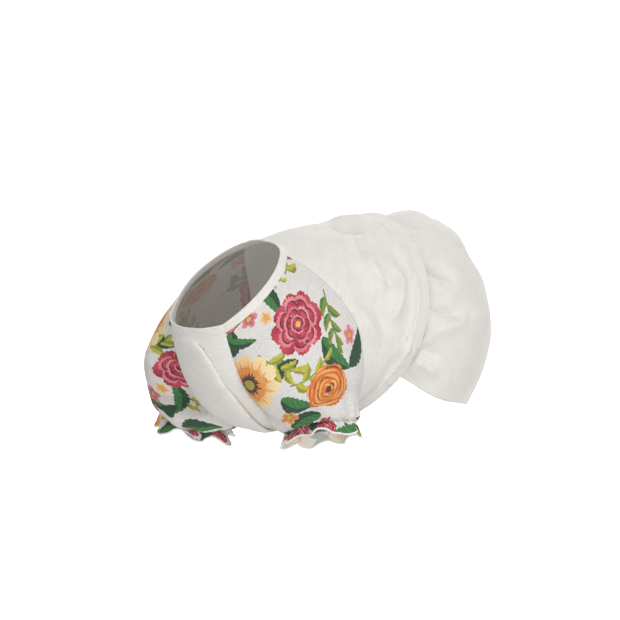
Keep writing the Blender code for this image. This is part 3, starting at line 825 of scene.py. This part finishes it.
def neck_band(material):
    """The band round the neck; returns the line of its stitches and the way that they face."""
    edge = neck_ring(0, chest, back, left, right)
    lean = edge - neck_ring(FINE // 2, chest, back, left, right)
    facing = neck_ring(0, *normals)
    edge, (lean, facing), run = resampled(edge, [lean, facing], BAND_STEPS, True)
    for _ in range(BAND_SMOOTHING):
        lean = unit(np.roll(lean, 1, axis=0) + 2 * lean + np.roll(lean, -1, axis=0))
        facing = unit(np.roll(facing, 1, axis=0) + 2 * facing + np.roll(facing, -1, axis=0))
    slope = math.radians(SLEEVE[0][5])
    rise = unit(lean + np.array((0.0, -math.sin(slope), math.cos(slope))))
    along = tangents(edge, True)
    out = unit(np.cross(rise, along))
    out = out * np.sign((out * facing).sum(-1, keepdims=True))
    a = np.linspace(0, 2 * np.pi, BAND_SIDES, endpoint=False)
    middle = (BAND_HEIGHT - BAND_LAP) / 2
    high = (BAND_HEIGHT + BAND_LAP) / 2
    x = middle + high * np.sign(np.cos(a)) * abs(np.cos(a)) ** BAND_ROUND[0]
    y = BAND_CLOTH / 2 * np.sign(np.sin(a)) * abs(np.sin(a)) ** BAND_ROUND[1]
    depth, span = BAND_GROOVE
    groove = depth * bell(x, BAND_STITCH, span)
    share, pitch, place, span = BAND_PUCKER
    pucker = 1 + share * np.sin(run / pitch)[:, None] * bell(x, place, span)
    y = (y - np.sign(y) * groove) * pucker
    rings = edge[:, None] + rise[:, None] * x[None, :, None] + out[:, None] * y[..., None]
    cloth = stack(run[:, None], x[None, :], 0.0)
    made = link("neck_band_cloth", round_tube("neck_band_cloth", rings, cloth),
                "neck_band", material)
    return edge + rise * BAND_STITCH + out * (BAND_CLOTH / 2 - THREAD_SINK), out


def overlock(name, sleeve, normal, material):
    """Rolled edge of a frill, wound with thread."""
    line, (facing,), run = resampled(sleeve[-1, :-1], [normal[-1, :-1]], EDGE_STEPS, True)
    along = tangents(line, True)
    facing = unit(facing - along * (facing * along).sum(-1, keepdims=True))
    down = np.cross(along, facing)
    a = np.linspace(0, 2 * np.pi, EDGE_SIDES, endpoint=False)
    wound = 1 + EDGE_WOUND * np.sin(run[:, None] / EDGE_PITCH * 2 * np.pi + a[None, :])
    radius = EDGE_RADIUS * wound
    rings = (line[:, None] + facing[:, None] * (radius * np.cos(a))[..., None]
             + down[:, None] * (radius * np.sin(a))[..., None])
    cloth = stack(run[:, None], a[None, :] * EDGE_RADIUS, 0.0)
    return link(name, round_tube(name, rings, cloth), None, material)


def grain():
    """One stitch of length and radius 1, lying along x, with its ends bent down."""
    sides = GRAIN_SIDES
    rings = []
    for x, size in GRAIN:
        for k in range(sides):
            a = 2 * math.pi * k / sides
            rings.append((x, size * math.cos(a), size * math.sin(a) - GRAIN_BEND * x * x))
    faces = []
    for start in range(0, len(rings) - sides, sides):
        for k in range(sides):
            after = (k + 1) % sides
            faces.append((start + sides + k, start + sides + after, start + after, start + k))
    faces.append(range(sides))
    faces.append(range(len(rings) - 1, len(rings) - sides - 1, -1))
    return np.array(rings), faces


def stitches(name, lines, material):
    """Rows of stitches along lines on the cloth, as one mesh."""
    shape, faces = grain()
    points = []
    cells = []
    count = 0
    for line, facing, closed in lines:
        length = np.linalg.norm(np.diff(line, axis=0), axis=1).sum()
        number = max(2, int(length / STITCH_PITCH))
        place, (up,), _ = resampled(line, [facing], number, closed)
        along = tangents(place, closed)
        up = unit(up - along * (up * along).sum(-1, keepdims=True))
        side = np.cross(up, along)
        x, y, z = (shape * np.array((STITCH_LENGTH, STITCH_RADIUS, STITCH_RADIUS))).T
        grains = (place[:, None] + along[:, None] * x[None, :, None]
                  + side[:, None] * y[None, :, None] + up[:, None] * z[None, :, None])
        points.append(grains.reshape(-1, 3))
        for _ in place:
            cells += [[count + v for v in face] for face in faces]
            count += len(shape)
    mesh = bpy.data.meshes.new(name)
    mesh.from_pydata(np.concatenate(points).tolist(), [], cells)
    return link(name, mesh, None, material)


def at_inset(run, inset, values):
    """Values of a row or column where the length run from its edge comes to inset."""
    order = np.argsort(run)
    return [np.interp(inset, run[order], values[order, k]) for k in range(3)]


def along_seam(points, normal, column):
    """Line on the outside of a sheet beside its seam."""
    run = lengths(points, 1)
    if column < 0:
        run = run[:, -1:] - run
    rows = range(FINE // 2, armpit_line, STITCH_ROWS)
    line = np.array([at_inset(run[r], SEAM_STITCH, points[r]) for r in rows])
    facing = unit(np.array([at_inset(run[r], SEAM_STITCH, normal[r]) for r in rows]))
    return line + facing * CLOTH / 2, facing, False


def along_hem(points, normal, inset):
    """Line on the outside of a sheet before its hem."""
    run = lengths(points, 0)
    run = run[-1:] - run
    line = [at_inset(run[:, c], inset, points[:, c]) for c in range(points.shape[1])]
    facing = normal[BEFORE_HEM]
    return np.array(line) + facing * CLOTH / 2, facing, False


# Flower print. Inks are mixed as they look on the cloth and turned into linear light.
def ink(red, green, blue):
    return ((np.array((red, green, blue)) / 255.0 + 0.055) / 1.055) ** 2.4


CREAM = ink(244, 222, 172)
PEACH = ink(240, 176, 96)
ORANGE = ink(226, 124, 44)
RUST = ink(190, 78, 30)
PINK = ink(232, 150, 156)
ROSE = ink(206, 78, 96)
CRIMSON = ink(160, 30, 56)
WINE = ink(98, 22, 42)
LIME = ink(190, 188, 60)
OLIVE = ink(140, 142, 44)
GREEN = ink(58, 124, 58)
PINE = ink(24, 66, 44)
BROWN = ink(74, 48, 40)

# The design repeats every TILE metres. No point counts as farther out of a motif than FAR, and the
# colour of an ink is known for INK_SPREAD beyond its edge. In the drawing functions below, numbers
# under 0.01 are widths in metres, and others are shares of a motif's size or waves to a turn or a
# metre.
TILE = 0.236
LAYERS = ("leaf", "vein", "petal", "mid", "heart", "line")
FAR = -0.01
INK_SPREAD = 0.002


class Print:
    """Layers of ink on a sheet: each holds how far inside its edge a point is, and its colour."""

    def __init__(self, cloth, offset, turn):
        c, s = math.cos(turn), math.sin(turn)
        u, v = cloth[..., 0], cloth[..., 1]
        self.u = c * u - s * v + offset[0]
        self.v = s * u + c * v + offset[1]
        shape = u.shape
        self.edge = {name: np.full(shape, FAR) for name in LAYERS}
        self.colour = {name: np.tile(CREAM, shape + (1,)) for name in LAYERS}

    def local(self, u, v, turn):
        """Coordinates of a motif in metres, on cloth where the design repeats."""
        x = (self.u - u / 1000 + TILE / 2) % TILE - TILE / 2
        y = (self.v - v / 1000 + TILE / 2) % TILE - TILE / 2
        c, s = math.cos(math.radians(turn)), math.sin(math.radians(turn))
        return c * x + s * y, c * y - s * x

    def lay(self, layer, edge, colour):
        """Put ink where edge, the distance inside the motif, is above 0."""
        on_top = (edge > self.edge[layer]) | (edge > 0)
        self.edge[layer] = np.where(on_top, np.maximum(edge, FAR), self.edge[layer])
        near = on_top & (edge > -INK_SPREAD)
        self.colour[layer] = np.where(near[..., None], colour, self.colour[layer])

    def cover(self, edge):
        """Take the drawing on earlier flowers away where a new one lies over it."""
        for layer in ("mid", "heart", "line"):
            old = self.edge[layer]
            self.edge[layer] = np.where(edge > 0, np.minimum(old, -edge), old)


def blend(a, b, share):
    return a + (b - a) * np.clip(share, 0, 1)[..., None]


def polar(x, y):
    return np.hypot(x, y), np.arctan2(y, x)


def ruffled(angle, count, notch, pick):
    """Outline of a ring of petals with torn edges, as a share of the radius."""
    lobe = abs(np.cos(angle * count / 2)) ** 0.5
    rough = np.zeros_like(angle)
    for k in (7, 12, 19, 31, 44):
        rough += pick.uniform(0.5, 1.0) * np.sin(k * angle + pick.uniform(0, 6.3))
    return 1 - notch + notch * lobe + 0.020 * rough


def rays(angle, r, count, start, stop, width, pick):
    """Distance inside tapering strokes that point away from the middle."""
    place = angle * count / (2 * np.pi) + 0.18 * np.sin(angle * 3 + r * 150)
    number = np.floor(place) % count
    length = pick.uniform(0.45, 1.0, count)[number.astype(int)]
    span = (r - start) / ((stop - start) * length)
    across = abs(place % 1.0 - 0.5) * 2 * np.pi / count * r
    edge = width * np.sin(np.pi * np.clip(span, 0, 1) ** 0.6) - across
    return np.where((span > 0) & (span < 1), edge, np.maximum(FAR, -across))


def open_flower(on, u, v, size, turn, count, colours, seed):
    """Wide open flower: two rings of torn petals with strokes from a round middle."""
    light, mid, deep, heart = colours
    pick = np.random.default_rng(seed)
    x, y = on.local(u, v, turn)
    x = x * 1.08
    r, angle = polar(x, y)
    size = size / 1000
    outer = size * ruffled(angle, count, 0.22, pick)
    edge = outer - r
    on.cover(edge)
    petal = np.floor(angle * count / (2 * np.pi) + 0.5).astype(int) % count
    tint = pick.uniform(0, 1, count)[petal]
    share = 1.1 - r / outer + 0.8 * (tint - 0.5)
    on.lay("petal", edge, blend(light, mid, share))
    on.lay("mid", np.minimum(edge - 0.001, rays(angle, r, count * 3, size * 0.25, size * 0.98,
                                                0.0022, pick)), blend(mid, deep, share * 0.6))
    inner = size * 0.60 * ruffled(angle + 0.4, count - 2, 0.26, pick) - r
    on.lay("heart", inner, blend(mid, deep, 0.35 + 0.5 * tint))
    on.lay("line", rays(angle, r, 26, size * 0.17, size * 0.52, 0.0013, pick), BROWN)
    ring = abs(inner) - 0.0006
    on.lay("line", -ring - 0.0009 * (np.sin(angle * 5 + 1) > -0.1), blend(deep, BROWN, 0.4))
    middle = size * 0.17 - r
    speck = np.sin(x * 3300) * np.sin(y * 3300) * 0.5 + 0.5
    on.lay("heart", middle, blend(heart, heart * 0.45, speck))


def rose(on, u, v, size, turn, colours, seed):
    """Full rose seen from its side: petals wound round a bud, with broken dark outlines."""
    light, mid, deep, dark = colours
    pick = np.random.default_rng(seed)
    x, y = on.local(u, v, turn)
    size = size / 1000
    r, angle = polar(x, y * 1.1)
    outer = size * ruffled(angle, 6, 0.13, pick)
    edge = outer - r
    on.cover(edge)
    wound = r / size * 5.2 + angle / (2 * np.pi) + 0.16 * np.sin(angle * 4 + 3 * r / size)
    at = wound % 1.0
    patch = 0.5 + 0.5 * np.sin(angle * 2 + 4 * r / size + 1.3 * np.sin(angle * 3))
    on.lay("petal", edge, blend(mid, deep, 0.25 + 0.5 * patch * (1 - at)))
    pitch = size / 5.2
    rim = (0.20 + 0.14 * np.sin(angle * 3 + wound * 2)) * pitch - abs(at - 0.62) * pitch
    on.lay("mid", np.minimum(edge - 0.0008, rim), blend(light, mid, 0.3 * patch))
    broken = np.sin(angle * 2.0 + wound * 2.6) * 0.0011 + 0.0002
    on.lay("line", np.minimum(edge, broken - abs(at - 0.04) * pitch * 0.9), dark)
    on.lay("heart", size * 0.13 - r, dark)


def peony(on, u, v, size, turn, colours, seed):
    """Loose many-petalled flower drawn as overlapping lit petals."""
    light, mid, deep, dark = colours
    pick = np.random.default_rng(seed)
    x, y = on.local(u, v, turn)
    size = size / 1000
    r = np.hypot(x * 0.94, y * 1.06)
    angle = np.arctan2(y, x)
    edge = size * ruffled(angle, 8, 0.20, pick) - r
    on.cover(edge)
    on.lay("petal", edge, blend(mid, deep, 0.6 + 0.4 * np.sin(angle * 4)))
    for ring, number, far, wide in ((0, 7, 0.62, 0.30), (1, 6, 0.38, 0.24), (2, 4, 0.15, 0.17)):
        for k in range(number):
            a = 2 * math.pi * (k + 0.5 * ring) / number + pick.uniform(-0.2, 0.2)
            px = size * far * math.cos(a)
            py = size * far * math.sin(a)
            out = (x - px) * math.cos(a) + (y - py) * math.sin(a)
            side = (y - py) * math.cos(a) - (x - px) * math.sin(a)
            ripple = 1 + 0.10 * np.sin(side * 1500 + k)
            shape = wide * size * ripple - np.hypot(out * 1.25, side)
            hollow = wide * size * 0.80 - np.hypot((out + wide * size * 0.38) * 1.15, side)
            lit = np.minimum(np.minimum(shape, edge - 0.0006), -hollow)
            tone = pick.uniform(0, 1)
            on.lay("mid", np.minimum(lit, edge), blend(light, mid, tone * 0.8))
            on.lay("line", np.minimum(0.0009 - abs(hollow), shape - 0.001), dark)
    on.lay("heart", size * 0.10 - r, PEACH)


def leaf(on, u, v, length, width, turn, light=GREEN, dark=PINE):
    """A pointed leaf from its stalk at u, v, darker on one side of its rib."""
    length = length / 1000
    width = width / 1000
    x, y = on.local(u, v, turn)
    share = np.clip(x / length, 0.0, 1.0)
    y = y - 0.13 * length * np.sin(np.pi * share)
    half = width / 2 * np.sin(np.pi * share ** 0.8) ** 0.75 * (1 + 0.07 * np.sin(x * 1100))
    edge = np.where((x > 0) & (x < length), half - abs(y), FAR)
    colour = blend(light, dark, 0.12 + 0.25 * np.sin(x * 700 + abs(y) * 900))
    on.edge["vein"] = np.where(edge > 0, -edge, on.edge["vein"])
    on.lay("leaf", edge, colour)
    comb = 0.0006 + 0.0014 * abs(np.sin((x - 0.8 * y) * np.pi / 0.0058))
    shade = np.minimum(edge - 0.0004, np.minimum(y - 0.0003, comb + y * 0.2))
    on.lay("vein", shade, dark)


def sprig(on, u, v, length, turn, leaves, light=LIME, dark=OLIVE):
    """A thin bent stem with small leaves on both sides."""
    x, y = on.local(u, v, turn)
    metres = length / 1000
    bend = 0.16 * metres * np.sin(np.pi * x / metres * 0.8)
    stem = np.where((x > 0) & (x < metres), 0.0011 - abs(y - bend), FAR)
    on.lay("leaf", stem, dark)
    c, s = math.cos(math.radians(turn)), math.sin(math.radians(turn))
    for k in range(leaves + 1):
        share = 0.14 + 0.84 * k / leaves
        px = share * length
        py = 0.16 * length * math.sin(math.pi * share * 0.8)
        tilt = turn + (-1) ** k * (54 - 26 * share) * (k < leaves) - 15 * (k == leaves)
        size = length * (0.46 - 0.14 * share)
        leaf(on, u + c * px - s * py, v + s * px + c * py, size, size * 0.44, tilt, light, dark)


def blossom(on, u, v, size, turn, light, deep):
    """A small open flower of five petals."""
    x, y = on.local(u, v, turn)
    size = size / 1000
    r, angle = polar(x, y)
    edge = size * (0.40 + 0.60 * abs(np.cos(angle * 2.5)) ** 0.5) - r
    on.cover(edge)
    on.lay("petal", edge, blend(deep, light, r / size))
    on.lay("mid", np.minimum(edge - 0.0005, 0.0012 - abs(np.sin(angle * 2.5)) * r), deep)
    on.lay("heart", size * 0.26 - r, LIME)


SUN = (CREAM, PEACH, ORANGE, LIME)
EMBER = (PEACH, ORANGE, RUST, BROWN)
BERRY = (PINK, ROSE, CRIMSON, WINE)
DUSK = (PINK, ROSE, WINE, BROWN)

# Motifs on the cloth: place u and v and size in millimetres, turn in degrees, and what else the
# drawing functions take, such as inks where they aren't the usual ones.
LEAVES = (
    (36, 66, 52, 21, -60), (22, 118, 50, 20, 150), (88, 128, 46, 20, 34),
    (116, 96, 40, 16, 160, PINE), (150, 92, 52, 20, 60), (118, 44, 44, 17, -110),
    (126, 170, 44, 18, 170), (176, 136, 46, 18, -36, PINE), (164, 186, 38, 15, 70),
    (50, 34, 38, 15, 30), (8, 14, 40, 15, 200), (50, 176, 42, 18, 14),
    (106, 178, 44, 19, 16, PINE), (146, 196, 44, 18, -10), (190, 196, 44, 17, 10),
    (12, 204, 44, 18, -6, PINE), (84, 214, 44, 18, -6), (214, 164, 44, 17, 80),
    (224, 60, 42, 16, -70), (104, 4, 42, 17, 150), (84, 229, 32, 13, 40, PINE),
)
SPRIGS = (
    (78, 70, 52, 40, 6), (100, 118, 46, -12, 5), (38, 150, 50, 80, 6),
    (182, 62, 46, 100, 6, OLIVE, GREEN), (150, 24, 44, -30, 5), (30, 228, 42, 14, 5, LIME, GREEN),
    (216, 196, 42, 140, 5), (214, 20, 44, 60, 5), (122, 232, 32, 50, 4),
)
BLOSSOMS = (
    (84, 26, 11, 10, PINK, CRIMSON),
    (101, 38, 8, 50, CREAM, ORANGE),
    (92, 158, 11, 30, PEACH, RUST),
    (188, 110, 10, 5, PINK, ROSE),
    (4, 84, 9, 70, CREAM, ORANGE),
    (60, 196, 9, 20, PINK, CRIMSON),
    (190, 22, 9, 33, CREAM, ORANGE),
    (172, 206, 10, 12, CREAM, ORANGE),
    (44, 222, 9, 40, PINK, CRIMSON),
    (222, 128, 11, 15, PEACH, RUST),
)
OPEN_FLOWERS = (
    (56, 102, 38, 20, 11, SUN, 3),
    (10, 176, 26, 60, 9, SUN, 8),
)
ROSES = (
    (142, 142, 27, 25, EMBER, 5),
    (60, 8, 19, 80, DUSK, 14),
    (94, 194, 15, 130, DUSK, 17),
    (226, 92, 20, 200, EMBER, 19),
)
PEONIES = (
    (130, 66, 31, 10, BERRY, 11),
    (176, 4, 20, 50, BERRY, 21),
    (134, 190, 15, 70, BERRY, 25),
)


def printed(cloth, offset, turn):
    """Ink attributes of a sheet of the flower print."""
    on = Print(cloth, offset, math.radians(turn))
    for draw, motifs in ((leaf, LEAVES), (sprig, SPRIGS), (blossom, BLOSSOMS),
                         (open_flower, OPEN_FLOWERS), (rose, ROSES), (peony, PEONIES)):
        for motif in motifs:
            draw(on, *motif)
    fields = {}
    for name in LAYERS:
        fields[name + "_edge"] = on.edge[name] * 1000
        fields[name + "_colour"] = on.colour[name]
    return fields


# Materials.
class Nodes:
    """Short calls to add and link nodes of one material."""

    def __init__(self, name):
        self.material = bpy.data.materials.new(name)
        self.material.use_nodes = True
        self.tree = self.material.node_tree
        self.shader = self.tree.nodes["Principled BSDF"]

    def plug(self, node, inputs):
        """Link or set the inputs of a node."""
        for key, value in inputs.items():
            if isinstance(value, bpy.types.NodeSocket):
                self.tree.links.new(value, node.inputs[key])
            else:
                node.inputs[key].default_value = value

    def add(self, kind, inputs, **settings):
        node = self.tree.nodes.new("ShaderNode" + kind)
        for key, value in settings.items():
            setattr(node, key, value)
        self.plug(node, inputs)
        return node

    def made(self, inputs):
        """The material, once the inputs of its shader are in."""
        self.plug(self.shader, inputs)
        return self.material

    def field(self, name, output="Fac"):
        return self.add("Attribute", {}, attribute_name=name).outputs[output]

    def noise(self, place, scale, detail=2.0, distortion=0.0):
        inputs = {"Vector": place, "Scale": scale, "Detail": detail, "Distortion": distortion}
        return self.add("TexNoise", inputs).outputs["Fac"]

    def stretched(self, place, along, across):
        return self.add("Mapping", {"Vector": place, "Scale": (along, across, 1.0)}).outputs[0]

    def bump(self, height, strength, distance, under=None):
        inputs = {"Height": height, "Strength": strength, "Distance": distance}
        if under:
            inputs["Normal"] = under
        return self.add("Bump", inputs).outputs[0]

    def math(self, kind, a, b=0.0):
        return self.add("Math", {0: a, 1: b}, operation=kind).outputs[0]

    def mix(self, share, a, b, mode="MIX"):
        inputs = {0: share, 6: a, 7: b}
        return self.add("Mix", inputs, data_type="RGBA", blend_type=mode).outputs[2]

    def ramp(self, value, low, high, to_low=0.0, to_high=1.0, smooth=True):
        inputs = {0: value, 1: low, 2: high, 3: to_low, 4: to_high}
        kind = "SMOOTHSTEP" if smooth else "LINEAR"
        return self.add("MapRange", inputs, interpolation_type=kind).outputs[0]


# Repeats of each pattern to a metre of cloth, and along and across a thread or a drawn line.
THREADS = (260, 2600)
MOTTLING = 60.0
FLECKS = 850.0
INK_WOBBLE = 900.0
CREASES = 38.0
DRAWN_LINES = (70.0, 420.0)
THREAD_TWIST = 900.0
# How much of the cloth's own thread shows through the ink, and how pale the print is inside.
INK_WEAVE = (0.80, 0.80, 0.78, 1.0)
INK_SHOWS = 0.10
INSIDE_PALE = 0.62


def woven(n, cloth, scale):
    """Height and speckle of a plain weave with uneven threads, from the flat cloth."""
    fine, long = THREADS[1] * scale, THREADS[0] * scale
    warp = n.noise(n.stretched(cloth, fine, long), 1.0)
    weft = n.noise(n.stretched(cloth, long, fine), 1.0)
    return n.math("MULTIPLY", n.math("ADD", warp, weft), 0.5)


def inked(n, cloth, thread, ground):
    """The print on the cloth: each layer's ink inside its edge, which the threads break up."""
    shake = n.ramp(n.noise(cloth, INK_WOBBLE), 0.2, 0.8, -0.35, 0.35, False)
    colour = ground
    for layer in LAYERS:
        edge = n.math("ADD", n.field(layer + "_edge"), shake)
        dye = n.field(layer + "_colour", "Color")
        dye = n.mix(n.ramp(thread, 0.3, 0.75, 0.0, INK_SHOWS), dye, INK_WEAVE)
        colour = n.mix(n.ramp(edge, -0.12, 0.22), colour, dye)
    return n.mix(n.math("MULTIPLY", n.field("inside"), INSIDE_PALE), colour, ground)


def cotton(name, white, heather, weave_scale, print_on=False, bump=0.3, speckle=0.02, sheen=0.18):
    """Woven cotton: uneven threads, flecks, soft mottling and fine drawn creases."""
    n = Nodes(name)
    cloth = n.field("cloth", "Vector")
    thread = woven(n, cloth, weave_scale)
    low, high = (tuple(c * k for c in white) + (1.0,) for k in (1 - heather, 1 + heather * 0.45))
    colour = n.mix(n.ramp(thread, 0.34, 0.66), low, high)
    if print_on:
        colour = inked(n, cloth, thread, colour)
    flecks = n.ramp(n.noise(cloth, FLECKS), 0.35, 0.65, 1 - speckle, 1 + speckle)
    mottling = n.ramp(n.noise(cloth, MOTTLING, 3.0), 0.3, 0.7, 0.975, 1.015)
    grey = n.math("MULTIPLY", mottling, flecks)
    grey = n.add("CombineColor", {0: grey, 1: grey, 2: grey}).outputs[0]
    large = n.bump(n.noise(cloth, CREASES, 4.0, 0.6), 0.40, 0.0014)
    drawn = n.noise(n.stretched(cloth, *DRAWN_LINES), 1.0, 2.0, 1.2)
    small = n.bump(n.ramp(drawn, 0.56, 0.72), 0.55, 0.0005, large)
    return n.made({
        "Base Color": n.mix(1.0, colour, grey, "MULTIPLY"),
        "Roughness": 0.88,
        "Specular IOR Level": 0.18,
        "Sheen Weight": sheen,
        "Sheen Roughness": 0.5,
        "Normal": n.bump(thread, bump, 0.00035, small),
    })


def thread_material():
    """Sewing thread with its twist."""
    n = Nodes("sewing_thread")
    place = n.add("TexCoord", {}).outputs["Object"]
    inputs = {"Vector": place, "Scale": THREAD_TWIST, "Distortion": 1.5}
    twist = n.add("TexWave", inputs, bands_direction="DIAGONAL").outputs["Fac"]
    return n.made({
        "Base Color": n.mix(twist, (0.84, 0.83, 0.80, 1.0), (0.93, 0.92, 0.89, 1.0)),
        "Roughness": 0.6,
        "Sheen Weight": 0.2,
        "Normal": n.bump(twist, 0.3, 0.0002),
    })


white = cotton("white_cotton", (0.80, 0.775, 0.735), 0.055, 0.9, bump=0.32)
binding = cotton("white_binding", (0.82, 0.79, 0.745), 0.035, 1.4)
floral = cotton("floral_cotton", (0.745, 0.718, 0.692), 0.12, 0.9, print_on=True, speckle=0.10,
                sheen=0.06)
thread = thread_material()


def cloth_piece(node, grid, normal, slot, material, held, flip=False, closed_from=None,
                fields=None):
    """The sheet that stands for a node; its size on the flat is worked out and not kept."""
    name = node + "_cloth"
    every = {"cloth": cloth_field(grid), **(fields or {})}
    made = link(name, shell(name, grid, normal, every, flip, closed_from), node, material)
    u = lengths(grid, 1)[:, -1].max()
    v = lengths(grid, 0)[-1].max()
    min(area_of(grid), float(u * v))


cloth_piece("chest_panel", *with_hem(chest, normals[0]), "white_cotton", white, "stretched")
cloth_piece("back_panel", *with_hem(back, normals[1]), "white_cotton", white, "draped", flip=True)
for name, sleeve, normal, offset, turn in (("left_sleeve", left, normals[2], (0.118, 0.02), 0),
                                           ("right_sleeve", right, normals[3], (0.03, 0.158), 180)):
    cloth_piece(name, sleeve, normal, "floral_cotton", floral, "gathered",
                flip=name == "right_sleeve", closed_from=armpit_line,
                fields=printed(cloth_field(sleeve), offset, turn))

f, t = mesh_grid(np.linspace(0, 1, SKIRT_ROWS + 1), np.linspace(-1, 1, SKIRT_COLUMNS + 1))
skirt = skirt_surface(f, t)
skirt_n = normals_of(skirt, True)
free = np.clip((f - SKIRT_INSIDE) / SKIRT_FREE, 0, 1)
height = fold_height(skirt, skirt_n, on_both_sides(SKIRT_FOLDS)) * free
height -= SKIRT_SINK * bell(f, *SKIRT_DENT)
skirt = skirt + skirt_n * height[..., None]
skirt_n = normals_of(skirt, True)
cloth_piece("skirt", *with_hem(skirt, skirt_n, SKIRT_TURN, SKIRT_ROLL), "white_cotton", white,
            "gathered", flip=True)

lines = [(*neck_band(binding), True)]
overlock("left_frill_edge", left, normals[2], thread)
overlock("right_frill_edge", right, normals[3], thread)

for points, normal in ((chest, normals[0]), (back, normals[1])):
    lines += [along_seam(points, normal, column) for column in (0, -1)]
lines.append(along_hem(back, normals[1], HEM_TURN - HEM_STITCH))
lines.append(along_hem(chest, normals[0], HEM_TURN - HEM_STITCH))
lines.append(along_hem(skirt, skirt_n, SKIRT_STITCH))
elastic_line = armpit_line + (ELASTIC - ARMPIT) * CUFF_FINE
for points, normal in ((left, normals[2]), (right, normals[3])):
    facing = normal[elastic_line, :-1]
    lines.append((points[elastic_line, :-1] + facing * CLOTH / 2, facing, True))
stitches("stitches", lines, thread)

# Camera at the photograph's angle, floor and soft light.
AIM = Vector((0.0188, -0.0079, -0.0845))
AZIMUTH = math.radians(50)
ELEVATION = math.radians(13)
DISTANCE = 2.4
LENS = 129.6
FLOOR = -0.335
FLOOR_REACH = 30.0
WALL = 14.0
WALL_SIDES = 64
WORLD_LIGHT = 0.49
# Lights: metres towards the camera, to its right and up from the aim, size and watts.
LIGHTS = (
    ("key", 0.9, 0.35, 1.7, 0.35, 14),
    ("fill", 1.3, -0.1, -0.55, 1.2, 5),
    ("low", 1.2, 1.0, -0.6, 1.2, 5),
    ("side", 0.5, 1.6, -0.15, 1.2, 1.4),
    ("back", -1.5, 0.1, 1.3, 1.0, 13),
)
toward = Vector((math.sin(AZIMUTH) * math.cos(ELEVATION), -math.cos(AZIMUTH) * math.cos(ELEVATION),
                 math.sin(ELEVATION)))
camera = in_scene("camera", bpy.data.cameras.new("camera"))
camera.location = AIM + toward * DISTANCE
camera.rotation_euler = (-toward).to_track_quat("-Z", "Y").to_euler()
camera.data.lens = LENS
camera.data.sensor_width = 36
bpy.context.scene.camera = camera


def staged(name, points, faces, grey, rough, glow):
    """A part of the studio, pale and aglow. It throws no shadow or light on the shirt."""
    mesh = bpy.data.meshes.new(name)
    mesh.from_pydata(points, [], faces)
    mesh.materials.append(Nodes(name).made({
        "Base Color": (grey, grey, grey, 1.0),
        "Roughness": rough,
        "Emission Color": (1.0, 1.0, 1.0, 1.0),
        "Emission Strength": glow,
    }))
    made = in_scene(name, mesh)
    made.visible_diffuse = False
    made.visible_shadow = False
    return made


corners = [(x * FLOOR_REACH, y * FLOOR_REACH, FLOOR) for x, y in ((-1, -1), (1, -1), (1, 1), (-1, 1))]
staged("floor", corners, [(0, 1, 2, 3)], 0.92, 0.8, 0.62)

# A round wall far behind closes the pale floor off in every direction. Light passes through it.
wall_points = []
for height in (FLOOR, WALL):
    for k in range(WALL_SIDES):
        angle = 2 * math.pi * k / WALL_SIDES
        wall_points.append((WALL * math.cos(angle), WALL * math.sin(angle), height))
wall_faces = [(k, (k + 1) % WALL_SIDES, WALL_SIDES + (k + 1) % WALL_SIDES, WALL_SIDES + k)
              for k in range(WALL_SIDES)]
wall = staged("wall", wall_points, wall_faces, 0.9, 1.0, 0.9)
wall.data.shade_smooth()
wall.visible_glossy = False

world = bpy.data.worlds.new("studio")
bpy.context.scene.world = world
world.use_nodes = True
world.node_tree.nodes["Background"].inputs["Color"].default_value = (1.0, 1.0, 1.0, 1.0)
world.node_tree.nodes["Background"].inputs["Strength"].default_value = WORLD_LIGHT
bpy.context.scene.view_settings.view_transform = "Standard"

right_way = Vector((math.cos(AZIMUTH), math.sin(AZIMUTH), 0.0))
for name, near, aside, high, size, power in LIGHTS:
    lamp = in_scene(name, bpy.data.lights.new(name, "AREA"))
    lamp.location = AIM + toward * near + right_way * aside + Vector((0, 0, high))
    lamp.data.size = size
    lamp.data.energy = power
    lamp.rotation_euler = (AIM - lamp.location).to_track_quat("-Z", "Y").to_euler()
